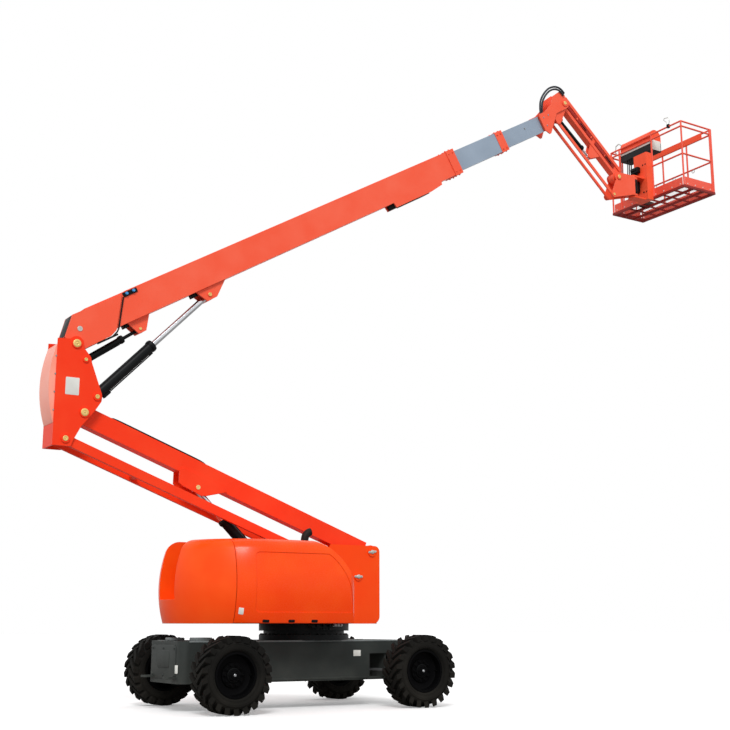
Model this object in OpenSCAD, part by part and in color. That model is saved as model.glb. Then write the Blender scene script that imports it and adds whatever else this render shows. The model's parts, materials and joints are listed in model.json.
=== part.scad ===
// Articulated boom lift: wheeled chassis, slewing turntable, parallel-link tower,
// upright, three-section telescopic boom, jib and work platform.
// +X is the steered front end, +Y is the left side, +Z is up.
// The origin is on the ground, under the middle of the whole machine.

/* [Running gear] */
// Distance between the axles
wheelbase = 2650; // [2500:10:2800]
// Distance across the machine between the tyre centres
track = 2120; // [2080:10:2240]
// Tyre diameter over the lugs
tyre_d = 900; // [860:5:940]
// Tyre width
tyre_w = 340; // [300:5:360]
// Diameter of the rim where the tyre sits
rim_d = 500; // [460:5:540]
// Lugs on each half of a tyre
lug_count = 22; // [18:1:24]
// Height of a lug over the tread
lug_h = 34; // [20:1:40]
// Distance of a kingpin inside its tyre's centre
kingpin_in = 300; // [285:5:320]
// Length of a steering arm
steer_arm = 240; // [230:5:260]

/* [Chassis] */
// Length of the frame behind the middle of the wheelbase
frame_rear = 1730; // [1700:10:1800]
// Length of the frame ahead of the middle of the wheelbase
frame_front = 1560; // [1540:10:1620]
// Width of the frame
frame_w = 1000; // [940:10:1040]
// Height of the frame
frame_h = 500; // [460:10:540]
// Height of the axles over the underside of the frame
axle_up = 120; // [105:5:140]
// Plate thickness of the frame
frame_t = 20; // [12:1:25]
// Distance of the slewing axis ahead of the middle of the wheelbase
slew_ahead = 220; // [180:10:260]
// Outside radius of the slewing ring
slew_r = 590; // [540:5:620]
// Height of the slewing ring
slew_h = 210; // [180:5:240]
// Radius of the hole in a tie-down lug
lug_hole_r = 30; // [20:1:32]

/* [Turntable] */
// Reach of the tail behind the middle of the wheelbase
tail_r = 1750; // [1700:10:1850]
// Width over the hoods
body_w = 2180; // [2100:10:2240]
// Height of the bodywork over the deck's underside
body_h = 1020; // [980:10:1060]
// Length of the tail casting
tail_l = 530; // [500:10:560]
// Thickness of a hood's moulding
hood_t = 12; // [8:1:16]
// Width of the channel that the tower folds into
slot_w = 470; // [460:5:500]
// Thickness of the deck
deck_t = 40; // [30:1:50]
// Thickness of the turret and upright plates
plate_t = 20; // [14:1:25]

/* [Tower] */
// Length of a tower arm between its pins
tower_l = 4386; // [4300:1:4450]
// Elevation of the tower arms
tower_deg = 20.6; // [16:0.1:24]
// Depth of the upper arm
upper_d = 235; // [220:5:250]
// Width of the upper arm
upper_w = 165; // [150:5:170]
// Depth of a lower arm bar
lower_d = 116; // [100:2:120]
// Clear width between the turret plates
turret_gap = 350; // [346:2:360]

/* [Boom] */
// Elevation of the boom
boom_deg = 30.6; // [26:0.1:34]
// Length of the outer section ahead of its pivot
outer_l = 6900; // [6800:10:7000]
// Depth of the outer section
outer_d = 380; // [370:2:390]
// Width of the outer section
outer_w = 260; // [250:2:270]
// Depth of the middle section
mid_d = 320; // [316:2:326]
// Width of the middle section
mid_w = 200; // [190:2:204]
// Depth of the inner section
inner_d = 270; // [264:2:276]
// Width of the inner section
inner_w = 150; // [140:2:156]
// Wall of the telescope sections
tube_t = 10; // [8:1:12]
// Length of the middle section that shows, with its collar
mid_out = 1125; // [1060:5:1180]
// Length of the inner section that shows
inner_out = 905; // [890:5:940]
// Length of a section's end collar
collar_l = 160; // [120:5:180]
// Sliding clearance between sections
slide_gap = 0.5; // [0.3:0.1:1]

/* [Jib] */
// Angle of the jib below the horizontal
jib_deg = 41.4; // [38:0.2:44]
// Length of the jib between its pins
jib_l = 1580; // [1540:10:1650]
// Depth of the jib arm
jib_d = 206; // [190:2:210]
// Width of the jib arm
jib_w = 110; // [100:2:112]
// Height of the jib arm's middle over the line of its pins
arm_up = 90; // [80:2:95]

/* [Platform] */
// Length of the platform across the machine
plat_l = 1720; // [1640:10:1800]
// Depth of the platform along the machine
plat_w = 750; // [700:10:820]
// Height of the top rail over the platform's underside
plat_h = 1200; // [1150:10:1260]
// Outside radius of a rail tube
rail_r = 15; // [13:1:18]
// Height of the toe boards
toe_h = 150; // [120:5:180]
// Pitch of the floor bars
floor_pitch = 270; // [240:10:300]

/* [Hidden] */
$fn = 64;
run = 0.4;
seat = 0.3;
side_gap = 8;

orange = [0.96, 0.27, 0.07];
moulded = [0.98, 0.32, 0.04];
grey = [0.20, 0.22, 0.23];
tube_grey = [0.40, 0.47, 0.53];
black = [0.06, 0.06, 0.06];
rubber = [0.05, 0.05, 0.05];
steel = [0.75, 0.76, 0.78];

// Heights, from the ground up
axle_z = tyre_d / 2;
frame_z = axle_z - axle_up;
frame_top = frame_z + frame_h;
deck_z = frame_top + slew_h;
deck_top = deck_z + deck_t;
body_top = deck_z + body_h;
front_x = wheelbase / 2;
rear_x = -wheelbase / 2;

// Unit vector at an angle above +X in the side view
function dir(a) = [cos(a), sin(a)];
// A side-view vector turned by an angle
function turn(v, a) = [v.x * cos(a) - v.y * sin(a), v.x * sin(a) + v.y * cos(a)];
// Angle of a side-view vector
function slope(v) = atan2(v.y, v.x);

// Pins of the tower and the upright in the side view, as [x, z] from the middle of the wheelbase
turret_pin = [1155, deck_z + 954];
link_drop = [-220, -335];
arm_deg = 180 - tower_deg;
upright_pin = turret_pin + tower_l * dir(arm_deg);
boom_pin = upright_pin + [-140, 841];
lift_base = boom_pin + [289, -633];
level_base = boom_pin + [123, -188];
tower_base = [200, deck_z + 160];

// Pins on the moving arms, in each arm's own axes
tower_lug = [2641, 205];
box_low = -25;
box_mid = box_low + outer_d / 2;
lift_lug = [2000, box_low - 100];
level_lug = [896, box_low - 129];
inner_end = outer_l + mid_out + inner_out;
head_pin_at = [inner_end + 657, 318];
jib_lug = [960, -jib_d / 2 - 85];

tower_rod_pin = turret_pin + turn(tower_lug, arm_deg);
lift_rod_pin = boom_pin + turn(lift_lug, boom_deg);
level_rod_pin = boom_pin + turn(level_lug, boom_deg);
head_pin = boom_pin + turn(head_pin_at, boom_deg);
jib_drop = [-120, -335];
jib_base = [-30, -265];
jib_tip = head_pin + jib_l * dir(-jib_deg);
jib_rod_pin = head_pin + turn(jib_lug, -jib_deg);

rotor_x = jib_tip.x + 415;
rotor_r = 85;
plat_x = rotor_x + 337;
plat_z = jib_tip.y - 265;

// Rear face of the upright and the shift that centres the machine on the origin
upright_rear = upright_pin.x - 374;
cover_bulge = 80;
mid_x = -(upright_rear - cover_bulge + plat_x + plat_w) / 2;

// Lanes across the jib, as distances from the centre plane
link_in = jib_w / 2 + 6;
link_out = link_in + 18;
cheek_in = link_out + side_gap;
cheek_out = cheek_in + 16;
head_in = cheek_out + side_gap;
head_out = head_in + 16;
turret_in = turret_gap / 2;
turret_out = turret_in + plate_t;
bar_out = turret_in - side_gap;
bar_in = bar_out - 50;

// Pin radii
main_pin = 40;
link_pin = 34;
small_pin = 24;

// Shared shapes

// Moves a piece drawn from the middle of the wheelbase to its place on the machine
module from_middle() {
    translate([mid_x, 0, 0]) children();
}

// Cylinder along Y between two distances from the centre plane
module bar_y(r, y0, y1) {
    translate([0, y0, 0]) rotate([-90, 0, 0]) cylinder(r = r, h = y1 - y0);
}

// Cylinder along X
module bar_x(r, x0, x1) {
    translate([x0, 0, 0]) rotate([0, 90, 0]) cylinder(r = r, h = x1 - x0);
}

// A side-view outline given thickness between two distances from the centre plane
module slab(y0, y1) {
    translate([0, y1, 0]) rotate([90, 0, 0]) linear_extrude(y1 - y0) children();
}

// The same outline on both sides of the centre plane
module slabs(y0, y1) {
    slab(y0, y1) children();
    slab(-y1, -y0) children();
}

// Puts local +X at an angle above the horizontal, from a side-view point
module place(p, a) {
    translate([p.x, 0, p.y]) rotate([0, -a, 0]) children();
}

// Moves a piece to a side-view point
module at(p) {
    translate([p.x, 0, p.y]) children();
}

// Rectangle with round corners
module round_rect(low, high, r) {
    translate([low.x + r, low.y]) square([high.x - low.x - 2 * r, high.y - low.y]);
    translate([low.x, low.y + r]) square([high.x - low.x, high.y - low.y - 2 * r]);
    for (x = [low.x + r, high.x - r], y = [low.y + r, high.y - r]) translate([x, y]) circle(r);
}

// Rectangular tube along X
module box_tube(x0, x1, d, w, t, z_mid) {
    translate([x0, 0, z_mid]) rotate([90, 0, 90]) linear_extrude(x1 - x0) difference() {
        square([w, d], center = true);
        square([w - 2 * t, d - 2 * t], center = true);
    }
}

// Pin through two plates with a head on each side
module plate_pin(r, half, head_r) {
    bar_y(r, -half, half);
    bar_y(head_r, half, half + 14);
    bar_y(head_r, -half - 14, -half);
}

// Pin heads on two plates with short stubs inside, and nothing between them
module stub_pins(r, inner, outer, head_r) {
    for (s = [0, 180]) rotate([0, 0, s]) {
        bar_y(r, inner - 20, outer);
        bar_y(head_r, outer, outer + 14);
    }
}

// Chassis

trunnion_r = 70;
lug_reach = 95;
lug_t = 25;
lug_y = frame_w / 2 - 150;
lug_z = frame_z + 60;

module frame_plan(inset) {
    round_rect([-frame_rear + inset, -frame_w / 2 + inset],
        [frame_front - inset, frame_w / 2 - inset], 110 - inset);
}

module tie_down(x, s) {
    end = x > 0 ? 1 : -1;
    translate([x, s * lug_y, lug_z]) linear_extrude(lug_t) difference() {
        union() {
            translate([end > 0 ? -frame_t : -lug_reach, -55]) square([frame_t + lug_reach, 110]);
            translate([end * lug_reach, 0]) circle(55);
        }
        translate([end * lug_reach, 0]) circle(lug_hole_r);
    }
}

module chassis_frame() color(grey) from_middle() difference() {
    union() {
        translate([0, 0, frame_z]) linear_extrude(frame_h) difference() {
            frame_plan(0);
            frame_plan(frame_t);
        }
        translate([0, 0, frame_top - frame_t]) linear_extrude(frame_t) frame_plan(0);
        for (x = [rear_x + 420, -330, 330, front_x - 150, front_x + 130])
            translate([x, frame_t / 2 - frame_w / 2, frame_z])
                cube([frame_t, frame_w - frame_t, frame_h - frame_t / 2]);
        for (s = [-1, 1]) {
            tie_down(-frame_rear, s);
            tie_down(frame_front, s);
        }
    }
    for (s = [0, 180]) rotate([0, 0, s])
        translate([s == 0 ? front_x - 395 : -front_x - 100, frame_w / 2 - frame_t - 1, axle_z - 80])
            cube([495, frame_t * 2, 290]);
    translate([front_x, 0, axle_z]) bar_x(trunnion_r + seat, -200, 200);
}

hub_r = 80;
hub_end = 14;

module wheel_hub(y0, neck, r) {
    bar_y(r, y0 + neck, track / 2 + hub_end);
    bar_y(hub_r, y0, track / 2 + 76);
}

module rear_hubs() color(black) from_middle() translate([rear_x, 0, axle_z])
    for (s = [0, 180]) rotate([0, 0, s]) {
        bar_y(100, frame_w / 2, frame_w / 2 + 25);
        bar_y(185, frame_w / 2, frame_w / 2 + 25);
        wheel_hub(frame_w / 2, 0, 140);
    }

kingpin_y = track / 2 - kingpin_in;

module steer_axle() color(black) from_middle() translate([front_x, 0, axle_z]) {
    translate([-70, 130 - kingpin_y, -75]) cube([140, 2 * kingpin_y - 260, 150]);
    bar_x(trunnion_r, -170, 170);
    for (s = [0, 180]) rotate([0, 0, s]) {
        translate([-70, kingpin_y - 170, -130]) cube([140, 60, 260]);
        for (z = [-130, 95]) translate([0, 0, z]) {
            translate([-70, kingpin_y - 130, 0]) cube([140, 130, 35]);
            translate([0, kingpin_y, 0]) cylinder(r = 70, h = 35);
        }
        translate([0, kingpin_y, -135]) cylinder(r = link_pin, h = 275);
    }
}

module slewing_ring() color(black) from_middle() translate([slew_ahead, 0, frame_top]) difference() {
    union() {
        cylinder(r = slew_r - 60, h = slew_h - seat);
        cylinder(r = slew_r, h = 70);
        translate([0, 0, slew_h - 90]) cylinder(r = slew_r, h = 90 - seat);
    }
    translate([0, 0, -1]) cylinder(r = slew_r - 160, h = slew_h + 2);
}

module knuckle(s) {
    translate([front_x, s * kingpin_y, axle_z]) rotate([0, 0, s > 0 ? 0 : 180]) difference() {
        union() {
            translate([0, 0, -87]) cylinder(r = 72, h = 174);
            translate([0, -kingpin_y, 0]) wheel_hub(kingpin_y + 40, 40, 130);
            translate([s > 0 ? -steer_arm : 0, -30, -50]) cube([steer_arm, 60, 30]);
            translate([-s * steer_arm, 0, -50]) cylinder(r = 38, h = 30);
            translate([-s * steer_arm, 0, -50]) cylinder(r = 16, h = 80);
        }
        translate([0, 0, -100]) cylinder(r = link_pin + run, h = 200);
    }
}

module knuckle_left() color(black) from_middle() knuckle(1);
module knuckle_right() color(black) from_middle() knuckle(-1);

module tie_rod() color(steel) from_middle() translate([front_x - steer_arm, 0, axle_z - 20 + seat])
    difference() {
        union() {
            translate([0, 0, 22]) bar_y(16, 20 - kingpin_y, kingpin_y - 20);
            for (s = [-1, 1]) translate([0, s * kingpin_y, 0]) cylinder(r = 34, h = 44);
        }
        for (s = [-1, 1]) translate([0, s * kingpin_y, -1]) cylinder(r = 16 + run, h = 60);
    }

// Wheels

rim_r = rim_d / 2;
rim_half = tyre_w * 0.4;
bead_half = rim_half - 11;
tread_r = tyre_d / 2 - lug_h;

// Moves a wheel drawn round +Z, outside up, to its corner of the machine
module wheel_at(x, s) {
    translate([x, s * track / 2, axle_z]) rotate([-90 * s, 0, 0]) children();
}

module rim() rotate_extrude() {
    translate([rim_r - 12, -rim_half]) square([12, 2 * rim_half]);
    for (y = [-rim_half, rim_half - 10]) translate([rim_r - 12, y]) square([26, 10]);
    translate([hub_r + seat, 20]) square([rim_r - hub_r - 12, 16]);
    translate([hub_r + seat, 20]) square([60, 34]);
}

// Half of the tyre's section, from the bead over the wall to the middle of the tread
wall_r = (tread_r - rim_r) / 2;
tyre_half = [for (i = [0:9]) let (a = -70 + i * 17)
    [rim_r + wall_r + wall_r * 0.86 * sin(a), tyre_w / 2 - 70 + 66 * cos(a)]];

module tyre() {
    rotate_extrude() polygon(concat([[rim_r + seat, -bead_half], [rim_r + seat, bead_half]],
        tyre_half, [[tread_r, tyre_w / 2 - 80], [tread_r, 80 - tyre_w / 2]],
        [for (i = [9:-1:0]) [tyre_half[i].x, -tyre_half[i].y]]));
    intersection() {
        translate([0, 0, -tyre_w / 2]) cylinder(r = tyre_d / 2, h = tyre_w);
        for (s = [-1, 1], i = [0:lug_count - 1])
            rotate([0, 0, (i + (s > 0 ? 0.5 : 0)) * 360 / lug_count])
                translate([tread_r - 45, 0, s * tyre_w * 0.26])
                    rotate([s * 38, 0, 0])
                        translate([0, -24, -tyre_w * 0.36]) cube([90, 48, tyre_w * 0.72]);
    }
}

module rim_rear_left() color(black) from_middle() wheel_at(rear_x, 1) rim();
module rim_rear_right() color(black) from_middle() wheel_at(rear_x, -1) rim();
module rim_front_left() color(black) from_middle() wheel_at(front_x, 1) rim();
module rim_front_right() color(black) from_middle() wheel_at(front_x, -1) rim();
module tyre_rear_left() color(rubber) from_middle() wheel_at(rear_x, 1) rotate([0, 0, 90]) tyre();
module tyre_rear_right() color(rubber) from_middle() wheel_at(rear_x, -1) rotate([0, 0, 90]) tyre();
module tyre_front_left() color(rubber) from_middle() wheel_at(front_x, 1) rotate([0, 0, 90]) tyre();
module tyre_front_right() color(rubber) from_middle() wheel_at(front_x, -1) rotate([0, 0, 90]) tyre();

// Turntable

turret_top = turret_pin.y + 82;
turret_front = turret_pin.x + 125;
well = [-420, 480, 125];
slot_floor = deck_z + 290;
tail_front = tail_l - tail_r;
hood_front = 395;
hinge_y = slot_w / 2 + 18;
hinge_z = body_top - hood_t - 20;
hinge_x = [-1120, -420];
hinge_r = 8;

module turret_plate() difference() {
    union() {
        polygon([[well.x - 60, deck_z], [turret_front - 100, deck_z],
            [turret_front, deck_z + 100], [turret_front, turret_top - 80],
            [turret_front - 80, turret_top], [turret_pin.x - 645, turret_top],
            [260, deck_z + 520], [well.x - 60, deck_z + 330]]);
        translate([turret_front - 100, deck_z + 100]) circle(100);
        translate([turret_front - 80, turret_top - 80]) circle(80);
    }
}

module turntable_frame() color(orange) from_middle() {
    translate([0, 0, deck_z]) linear_extrude(deck_t) difference() {
        union() {
            intersection() {
                translate([tail_mid, 0]) circle(body_w / 2 - 90);
                translate([tail_front, -body_w]) square([tail_mid - tail_front + 1, 2 * body_w]);
            }
            translate([tail_mid, 90 - body_w / 2]) square([hood_front - 45 - tail_mid, body_w - 180]);
            translate([0, -turret_out]) square([turret_front - 100, 2 * turret_out]);
            intersection() {
                translate([slew_ahead, 0]) circle(slew_r + 20);
                translate([hood_front + 15, -body_w]) square([body_w, 2 * body_w]);
            }
        }
        translate([well.x, -well.z]) square([well.y - well.x, 2 * well.z]);
    }
    slabs(turret_in, turret_out) turret_plate();
    at(turret_pin) plate_pin(main_pin, turret_out, 62);
    at(turret_pin + link_drop) plate_pin(link_pin, turret_out, 55);
    at(tower_base) stub_pins(link_pin, turret_in, turret_out, 55);
    translate([turret_front - 55, -turret_in - 1, deck_z]) cube([20, turret_gap + 2, 430]);
    for (s = [-1, 1], x = hinge_x) {
        translate([x - 40, s * hinge_y - 20, deck_top - 1]) cube([40, 40, body_h - deck_t - 90]);
        translate([x - 12, s * hinge_y - 12, body_top - 120]) cube([12, 24, hinge_z - body_top + 120]);
        translate([x - 12, s * hinge_y, hinge_z]) rotate([0, 90, 0]) cylinder(r = 12, h = 12);
        translate([x - 12, s * hinge_y, hinge_z]) rotate([0, 90, 0]) cylinder(r = hinge_r, h = 66);
    }
}

// The bodywork's barrelled side runs into a round top edge
side_r = 1500;
edge_r = 190;
belly = [body_w / 2 - side_r, deck_z + 440];
edge_z = body_top - edge_r;
edge_at = [belly.x + sqrt(pow(side_r - edge_r, 2) - pow(edge_z - belly.y, 2)), edge_z];
edge_dir = (edge_at - belly) / norm(edge_at - belly);
tail_mid = body_w / 2 - tail_r;
shoulder = [-465, deck_z + 210];

// Half of the bodywork's cross section
module half_section(inset) {
    meet = belly + (side_r - inset) * edge_dir;
    intersection() {
        translate(belly) circle(side_r - inset, $fn = 360);
        translate([0, deck_z - 60]) square([body_w, meet.y - deck_z + 60]);
    }
    translate([0, meet.y - 1]) square([edge_at.x, body_top - inset - meet.y + 1]);
    translate(edge_at) circle(edge_r - inset);
}

// The form that the tail and the hoods are cut from: a half-round tail, straight sides,
// round front corners and a curved front shoulder
module body_form(inset) intersection() {
    translate([tail_mid, 0, 0]) union() {
        rotate([0, 0, 90]) rotate_extrude(angle = 180, $fn = 128) half_section(inset);
        rotate([90, 0, 90]) linear_extrude(hood_front - tail_mid + 50) {
            half_section(inset);
            mirror([1, 0]) half_section(inset);
        }
    }
    translate([0, 0, deck_z - 50]) linear_extrude(body_h + 100)
        round_rect([-2 * tail_r, inset - body_w / 2 - 4], [hood_front - inset, body_w / 2 + 4 - inset],
            150 - inset);
    union() {
        translate([shoulder.x, 0, shoulder.y]) bar_y(870 - inset, -body_w, body_w);
        translate([-tail_r - 60, -body_w + 30, deck_z - 200])
            cube([tail_r + 60 + shoulder.x, 2 * body_w - 60, body_h + 400]);
    }
}

module counterweight() color(moulded) from_middle() difference() {
    intersection() {
        body_form(0);
        translate([-tail_r - 20, -body_w, deck_z]) cube([tail_l + 20, 2 * body_w, body_h + 20]);
    }
    translate([-tail_r - 30, -slot_w / 2, slot_floor]) cube([tail_l + 60, slot_w, body_h]);
}

// The engine bay, between a hood's side and the channel
engine_x = [-1050, -270];
engine_y = [190 - body_w / 2, -slot_w / 2 - 195];
engine_h = 620;

module engine() color(grey) from_middle() translate([engine_x[0], engine_y[0], deck_top])
    cube([engine_x[1] - engine_x[0], engine_y[1] - engine_y[0], engine_h]);

pipe_r = 50;
pipe_at = [-25, -310];
bend_r = 110;

module exhaust_pipe() color(black) from_middle() translate([0, pipe_at.y - 130, deck_top + engine_h - 100]) {
    bar_x(pipe_r, engine_x[1], pipe_at.x);
    translate([pipe_at.x, 0, 0]) sphere(pipe_r);
    translate([pipe_at.x, 0, 0]) cylinder(r = pipe_r, h = body_h - 520);
    translate([pipe_at.x + bend_r, 0, body_h - 520]) rotate([90, 0, 0]) rotate([0, 0, 105])
        rotate_extrude(angle = 75) translate([bend_r, 0]) circle(pipe_r);
}

// The pressed panel in a hood's side
module hood_panel() difference() {
    slab(body_w / 2 - 200, body_w / 2 + 60) intersection() {
        round_rect([-1000, deck_z + 130], [hood_front - 40, body_top - 170], 60);
        union() {
            translate(shoulder) circle(795);
            translate([-1100, deck_z]) square([1100 + shoulder.x, body_h]);
        }
    }
    body_form(7);
}

// The left hood; the right one is its mirror image
module hood() difference() {
    union() {
        difference() {
            body_form(0);
            body_form(hood_t);
            translate([-tail_r - 20, -body_w, deck_z - 100])
                cube([tail_l + 26, 2 * body_w, body_h + 200]);
            translate([-tail_r - 20, -body_w, deck_z - 100])
                cube([tail_r + 2000, 2 * body_w, 106]);
            translate([-tail_r - 20, -body_w, deck_z - 100])
                cube([tail_r + 2000, body_w + slot_w / 2, body_h + 200]);
        }
        for (x = hinge_x) translate([x + 4, hinge_y, hinge_z]) {
            rotate([0, 90, 0]) cylinder(r = 14, h = 46);
            translate([0, -5, 0]) cube([46, 10, 26]);
        }
    }
    for (x = hinge_x) translate([x, hinge_y, hinge_z]) rotate([0, 90, 0])
        cylinder(r = hinge_r + run, h = 60);
    hood_panel();
}

module hood_left() color(moulded) from_middle() hood();
module hood_right() color(moulded) from_middle() difference() {
    mirror([0, 1, 0]) hood();
    translate([pipe_at.x - 65, pipe_at.y - 270, deck_top + 300]) cube([235, 480, body_h]);
}

// Tower

// Tower arms are drawn along +X from the turret pin, with +Z on their underside
module tower_upper_arm() color(orange) from_middle() place(turret_pin, arm_deg) difference() {
    union() {
        box_tube(60, tower_l - 60, upper_d, upper_w, tube_t, 0);
        for (x = [0, tower_l]) translate([x, 0, 0]) bar_y(92, side_gap - turret_in, turret_in - side_gap);
        slabs(upper_w / 2 - 1, upper_w / 2 + 18)
            polygon([[2290, upper_d / 2 - 60], [2920, upper_d / 2 - 60], [2960, upper_d / 2 - 20],
                [2905, 255], [2850, 272], [2560, 285], [2500, 262], [2250, upper_d / 2 - 20]]);
        at(tower_lug) bar_y(small_pin + 6, -upper_w / 2 - 10, upper_w / 2 + 10);
    }
    for (x = [0, tower_l]) translate([x, 0, 0]) bar_y(main_pin + run, -turret_in, turret_in);
}

module tower_lower_arm() color(orange) from_middle() place(turret_pin + link_drop, arm_deg)
    difference() {
        union() {
            slabs(bar_in, bar_out) {
                translate([0, -lower_d / 2]) square([tower_l, lower_d]);
                for (x = [0, tower_l]) translate([x, 0]) circle(lower_d / 2 + 8);
            }
            for (x = [950, tower_l - 1040]) translate([x, 0, 0]) bar_y(42, -bar_in - 5, bar_in + 5);
        }
        for (x = [0, tower_l]) translate([x, 0, 0]) bar_y(link_pin + run, -turret_in, turret_in);
    }

// Cylinder pieces are drawn along +X from the rod's pin towards the foot of the barrel
module ram_rod(r, len, eye_r, half, pin_r) difference() {
    union() {
        bar_y(eye_r, -half, half);
        bar_x(r, eye_r * 0.6, len);
    }
    bar_y(pin_r + run, -half - 1, half + 1);
}

module ram_barrel(r, rod_r, start, end, eye_r, half, pin_r) difference() {
    union() {
        bar_x(r, start, end - eye_r * 0.6);
        bar_x(r + 8, start, start + 55);
        translate([end, 0, 0]) bar_y(eye_r, -half, half);
    }
    bar_x(rod_r + run, start - 1, end - eye_r - 12);
    translate([end, 0, 0]) bar_y(pin_r + run, -half - 1, half + 1);
}

tower_ram = norm(tower_base - tower_rod_pin);
tower_ram_deg = slope(tower_base - tower_rod_pin);
tower_rod_r = 38;
tower_barrel_r = 66;
tower_rod_l = 1655;
tower_barrel_l = 1650;

module tower_rod() color(steel) from_middle() place(tower_rod_pin, tower_ram_deg)
    ram_rod(tower_rod_r, tower_rod_l, 52, 40, small_pin + 6);
module tower_barrel() color(black) from_middle() place(tower_rod_pin, tower_ram_deg)
    ram_barrel(tower_barrel_r, tower_rod_r, tower_ram - tower_barrel_l, tower_ram, 62, 45, link_pin);

upright_corners = [[-374, -425], [-149, -425], [-127, -359], [-37, -183], [135, 39], [205, 150],
    [212, 200], [205, 250], [64, 620], [48, 690], [-45, 800], [-80, 900], [-374, 883]];

module upright_frame() color(orange) from_middle() {
    slabs(turret_in, turret_out) {
        translate(upright_pin) polygon(upright_corners);
        translate(boom_pin) circle(92);
    }
    at(upright_pin) {
        plate_pin(main_pin, turret_out, 62);
        slab(-turret_in - 1, turret_in + 1) translate([-374, -425]) square([20, 1125]);
    }
    at(upright_pin + link_drop) plate_pin(link_pin, turret_out, 55);
    at(boom_pin) plate_pin(main_pin, turret_out, 62);
    at(lift_base) stub_pins(link_pin, turret_in, turret_out, 50);
    at(level_base) stub_pins(small_pin, turret_in, turret_out, 38);
}

cover_half = 485;
cover_r = (cover_half * cover_half + cover_bulge * cover_bulge) / (2 * cover_bulge);

module upright_cover() color(moulded) from_middle() slab(12 - turret_out, turret_out - 12)
    intersection() {
        translate([upright_rear - cover_bulge + cover_r, upright_pin.y + 330]) circle(cover_r, $fn = 720);
        translate([upright_rear - 200, upright_pin.y - 300]) square([200, 1300]);
    }

// Boom, drawn along +X from its pivot

module boom_outer() color(orange) from_middle() place(boom_pin, boom_deg) difference() {
    union() {
        box_tube(320, outer_l - collar_l + 1, outer_d, outer_w, tube_t, box_mid);
        difference() {
            box_tube(outer_l - collar_l, outer_l, outer_d + 24, outer_w + 24,
                (outer_w + 24 - mid_w) / 2 - slide_gap, box_mid);
            translate([outer_l - collar_l - 1, -mid_w / 2 - slide_gap, box_mid - mid_d / 2 - slide_gap])
                cube([collar_l + 2, mid_w + 2 * slide_gap, mid_d + 2 * slide_gap]);
        }
        slabs(outer_w / 2 - 1, outer_w / 2 + 16)
            polygon([[-75, 136], [-88, 30], [-62, -78], [40, -98], [470, -88], [568, -50],
                [851, 335], [140, 345]]);
        slab(-outer_w / 2, outer_w / 2) polygon([[-75, 136], [-62, 120], [152, 330], [140, 345]]);
        slab(-outer_w / 2, outer_w / 2) polygon([[140, 345], [150, 330], [330, 330], [330, 345]]);
        bar_y(82, side_gap - turret_in, turret_in - side_gap);
        slabs(56, 78) polygon([[770, box_low + 4], [1105, box_low + 4], [960, -205], [850, -205]]);
        at(level_lug) bar_y(small_pin, -80, 80);
        slabs(72, 96) polygon([[1829, box_low + 4], [2318, box_low + 4], [2085, -190], [1930, -195]]);
        at(lift_lug) bar_y(link_pin, -104, 104);
        slabs(outer_w / 2 - 20, outer_w / 2) polygon([[5420, box_low + 4], [5435, box_low - 78],
            [6170, box_low - 76], [6410, box_low - 49], [6430, box_low + 4]]);
        translate([5600, 1 - outer_w / 2, box_low - 77]) cube([560, outer_w - 2, 8]);
    }
    bar_y(main_pin + run, -turret_in, turret_in);
}

mid_len = 6300;
inner_len = 6000;
mid_end = outer_l + mid_out;

module boom_middle() color(tube_grey) from_middle() place(boom_pin, boom_deg)
    box_tube(mid_end - mid_len, mid_end - collar_l, mid_d, mid_w, tube_t, box_mid);

module middle_collar() color(orange) from_middle() place(boom_pin, boom_deg) difference() {
    translate([mid_end - collar_l, -mid_w / 2 - 6, box_mid - mid_d / 2 - 8])
        cube([collar_l, mid_w + 12, mid_d + 16]);
    translate([mid_end - collar_l - 1, -inner_w / 2 - slide_gap, box_mid - inner_d / 2 - slide_gap])
        cube([collar_l + 2, inner_w + 2 * slide_gap, inner_d + 2 * slide_gap]);
}

module boom_inner() color(tube_grey) from_middle() place(boom_pin, boom_deg)
    box_tube(inner_end - inner_len, inner_end, inner_d, inner_w, tube_t, box_mid);

module boom_head() color(orange) from_middle() place(boom_pin, boom_deg) {
    translate([inner_end, 0, box_mid - inner_d / 2]) slab(-head_out, head_out)
        polygon([[0, 0], [5, 0], [60, 66], [60, inner_d], [0, inner_d]]);
    translate([inner_end, 0, 0]) slabs(head_in, head_out) {
        polygon([[-12, 22], [-12, 318], [150, 322], [350, 390], [470, 505], [690, 535], [735, 470],
            [735, 290], [640, 225], [390, 221], [80, -45], [50, -45], [0, 22]]);
        translate([head_pin_at.x - inner_end, head_pin_at.y]) circle(88);
    }
    at(head_pin_at) plate_pin(link_pin, head_out, 55);
}

lift_ram = norm(lift_base - lift_rod_pin);
lift_ram_deg = slope(lift_base - lift_rod_pin);
level_ram = norm(level_base - level_rod_pin);
level_ram_deg = slope(level_base - level_rod_pin);
lift_rod_r = 40;
lift_barrel_r = 68;
lift_rod_l = 1660;
lift_barrel_l = 1090;
level_rod_r = 22;
level_rod_l = 640;
level_barrel_l = 640;

module lift_rod() color(steel) from_middle() place(lift_rod_pin, lift_ram_deg)
    ram_rod(lift_rod_r, lift_rod_l, 58, 60, link_pin);
module lift_barrel() color(black) from_middle() place(lift_rod_pin, lift_ram_deg)
    ram_barrel(lift_barrel_r, lift_rod_r, lift_ram - lift_barrel_l, lift_ram, 62, 60, link_pin);
module level_rod() color(steel) from_middle() place(level_rod_pin, level_ram_deg)
    ram_rod(level_rod_r, level_rod_l, 40, 44, small_pin);
module level_barrel() color(black) from_middle() place(level_rod_pin, level_ram_deg)
    ram_barrel(42, level_rod_r, level_ram - level_barrel_l, level_ram, 40, 40, small_pin - 4);

// Jib

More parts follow.
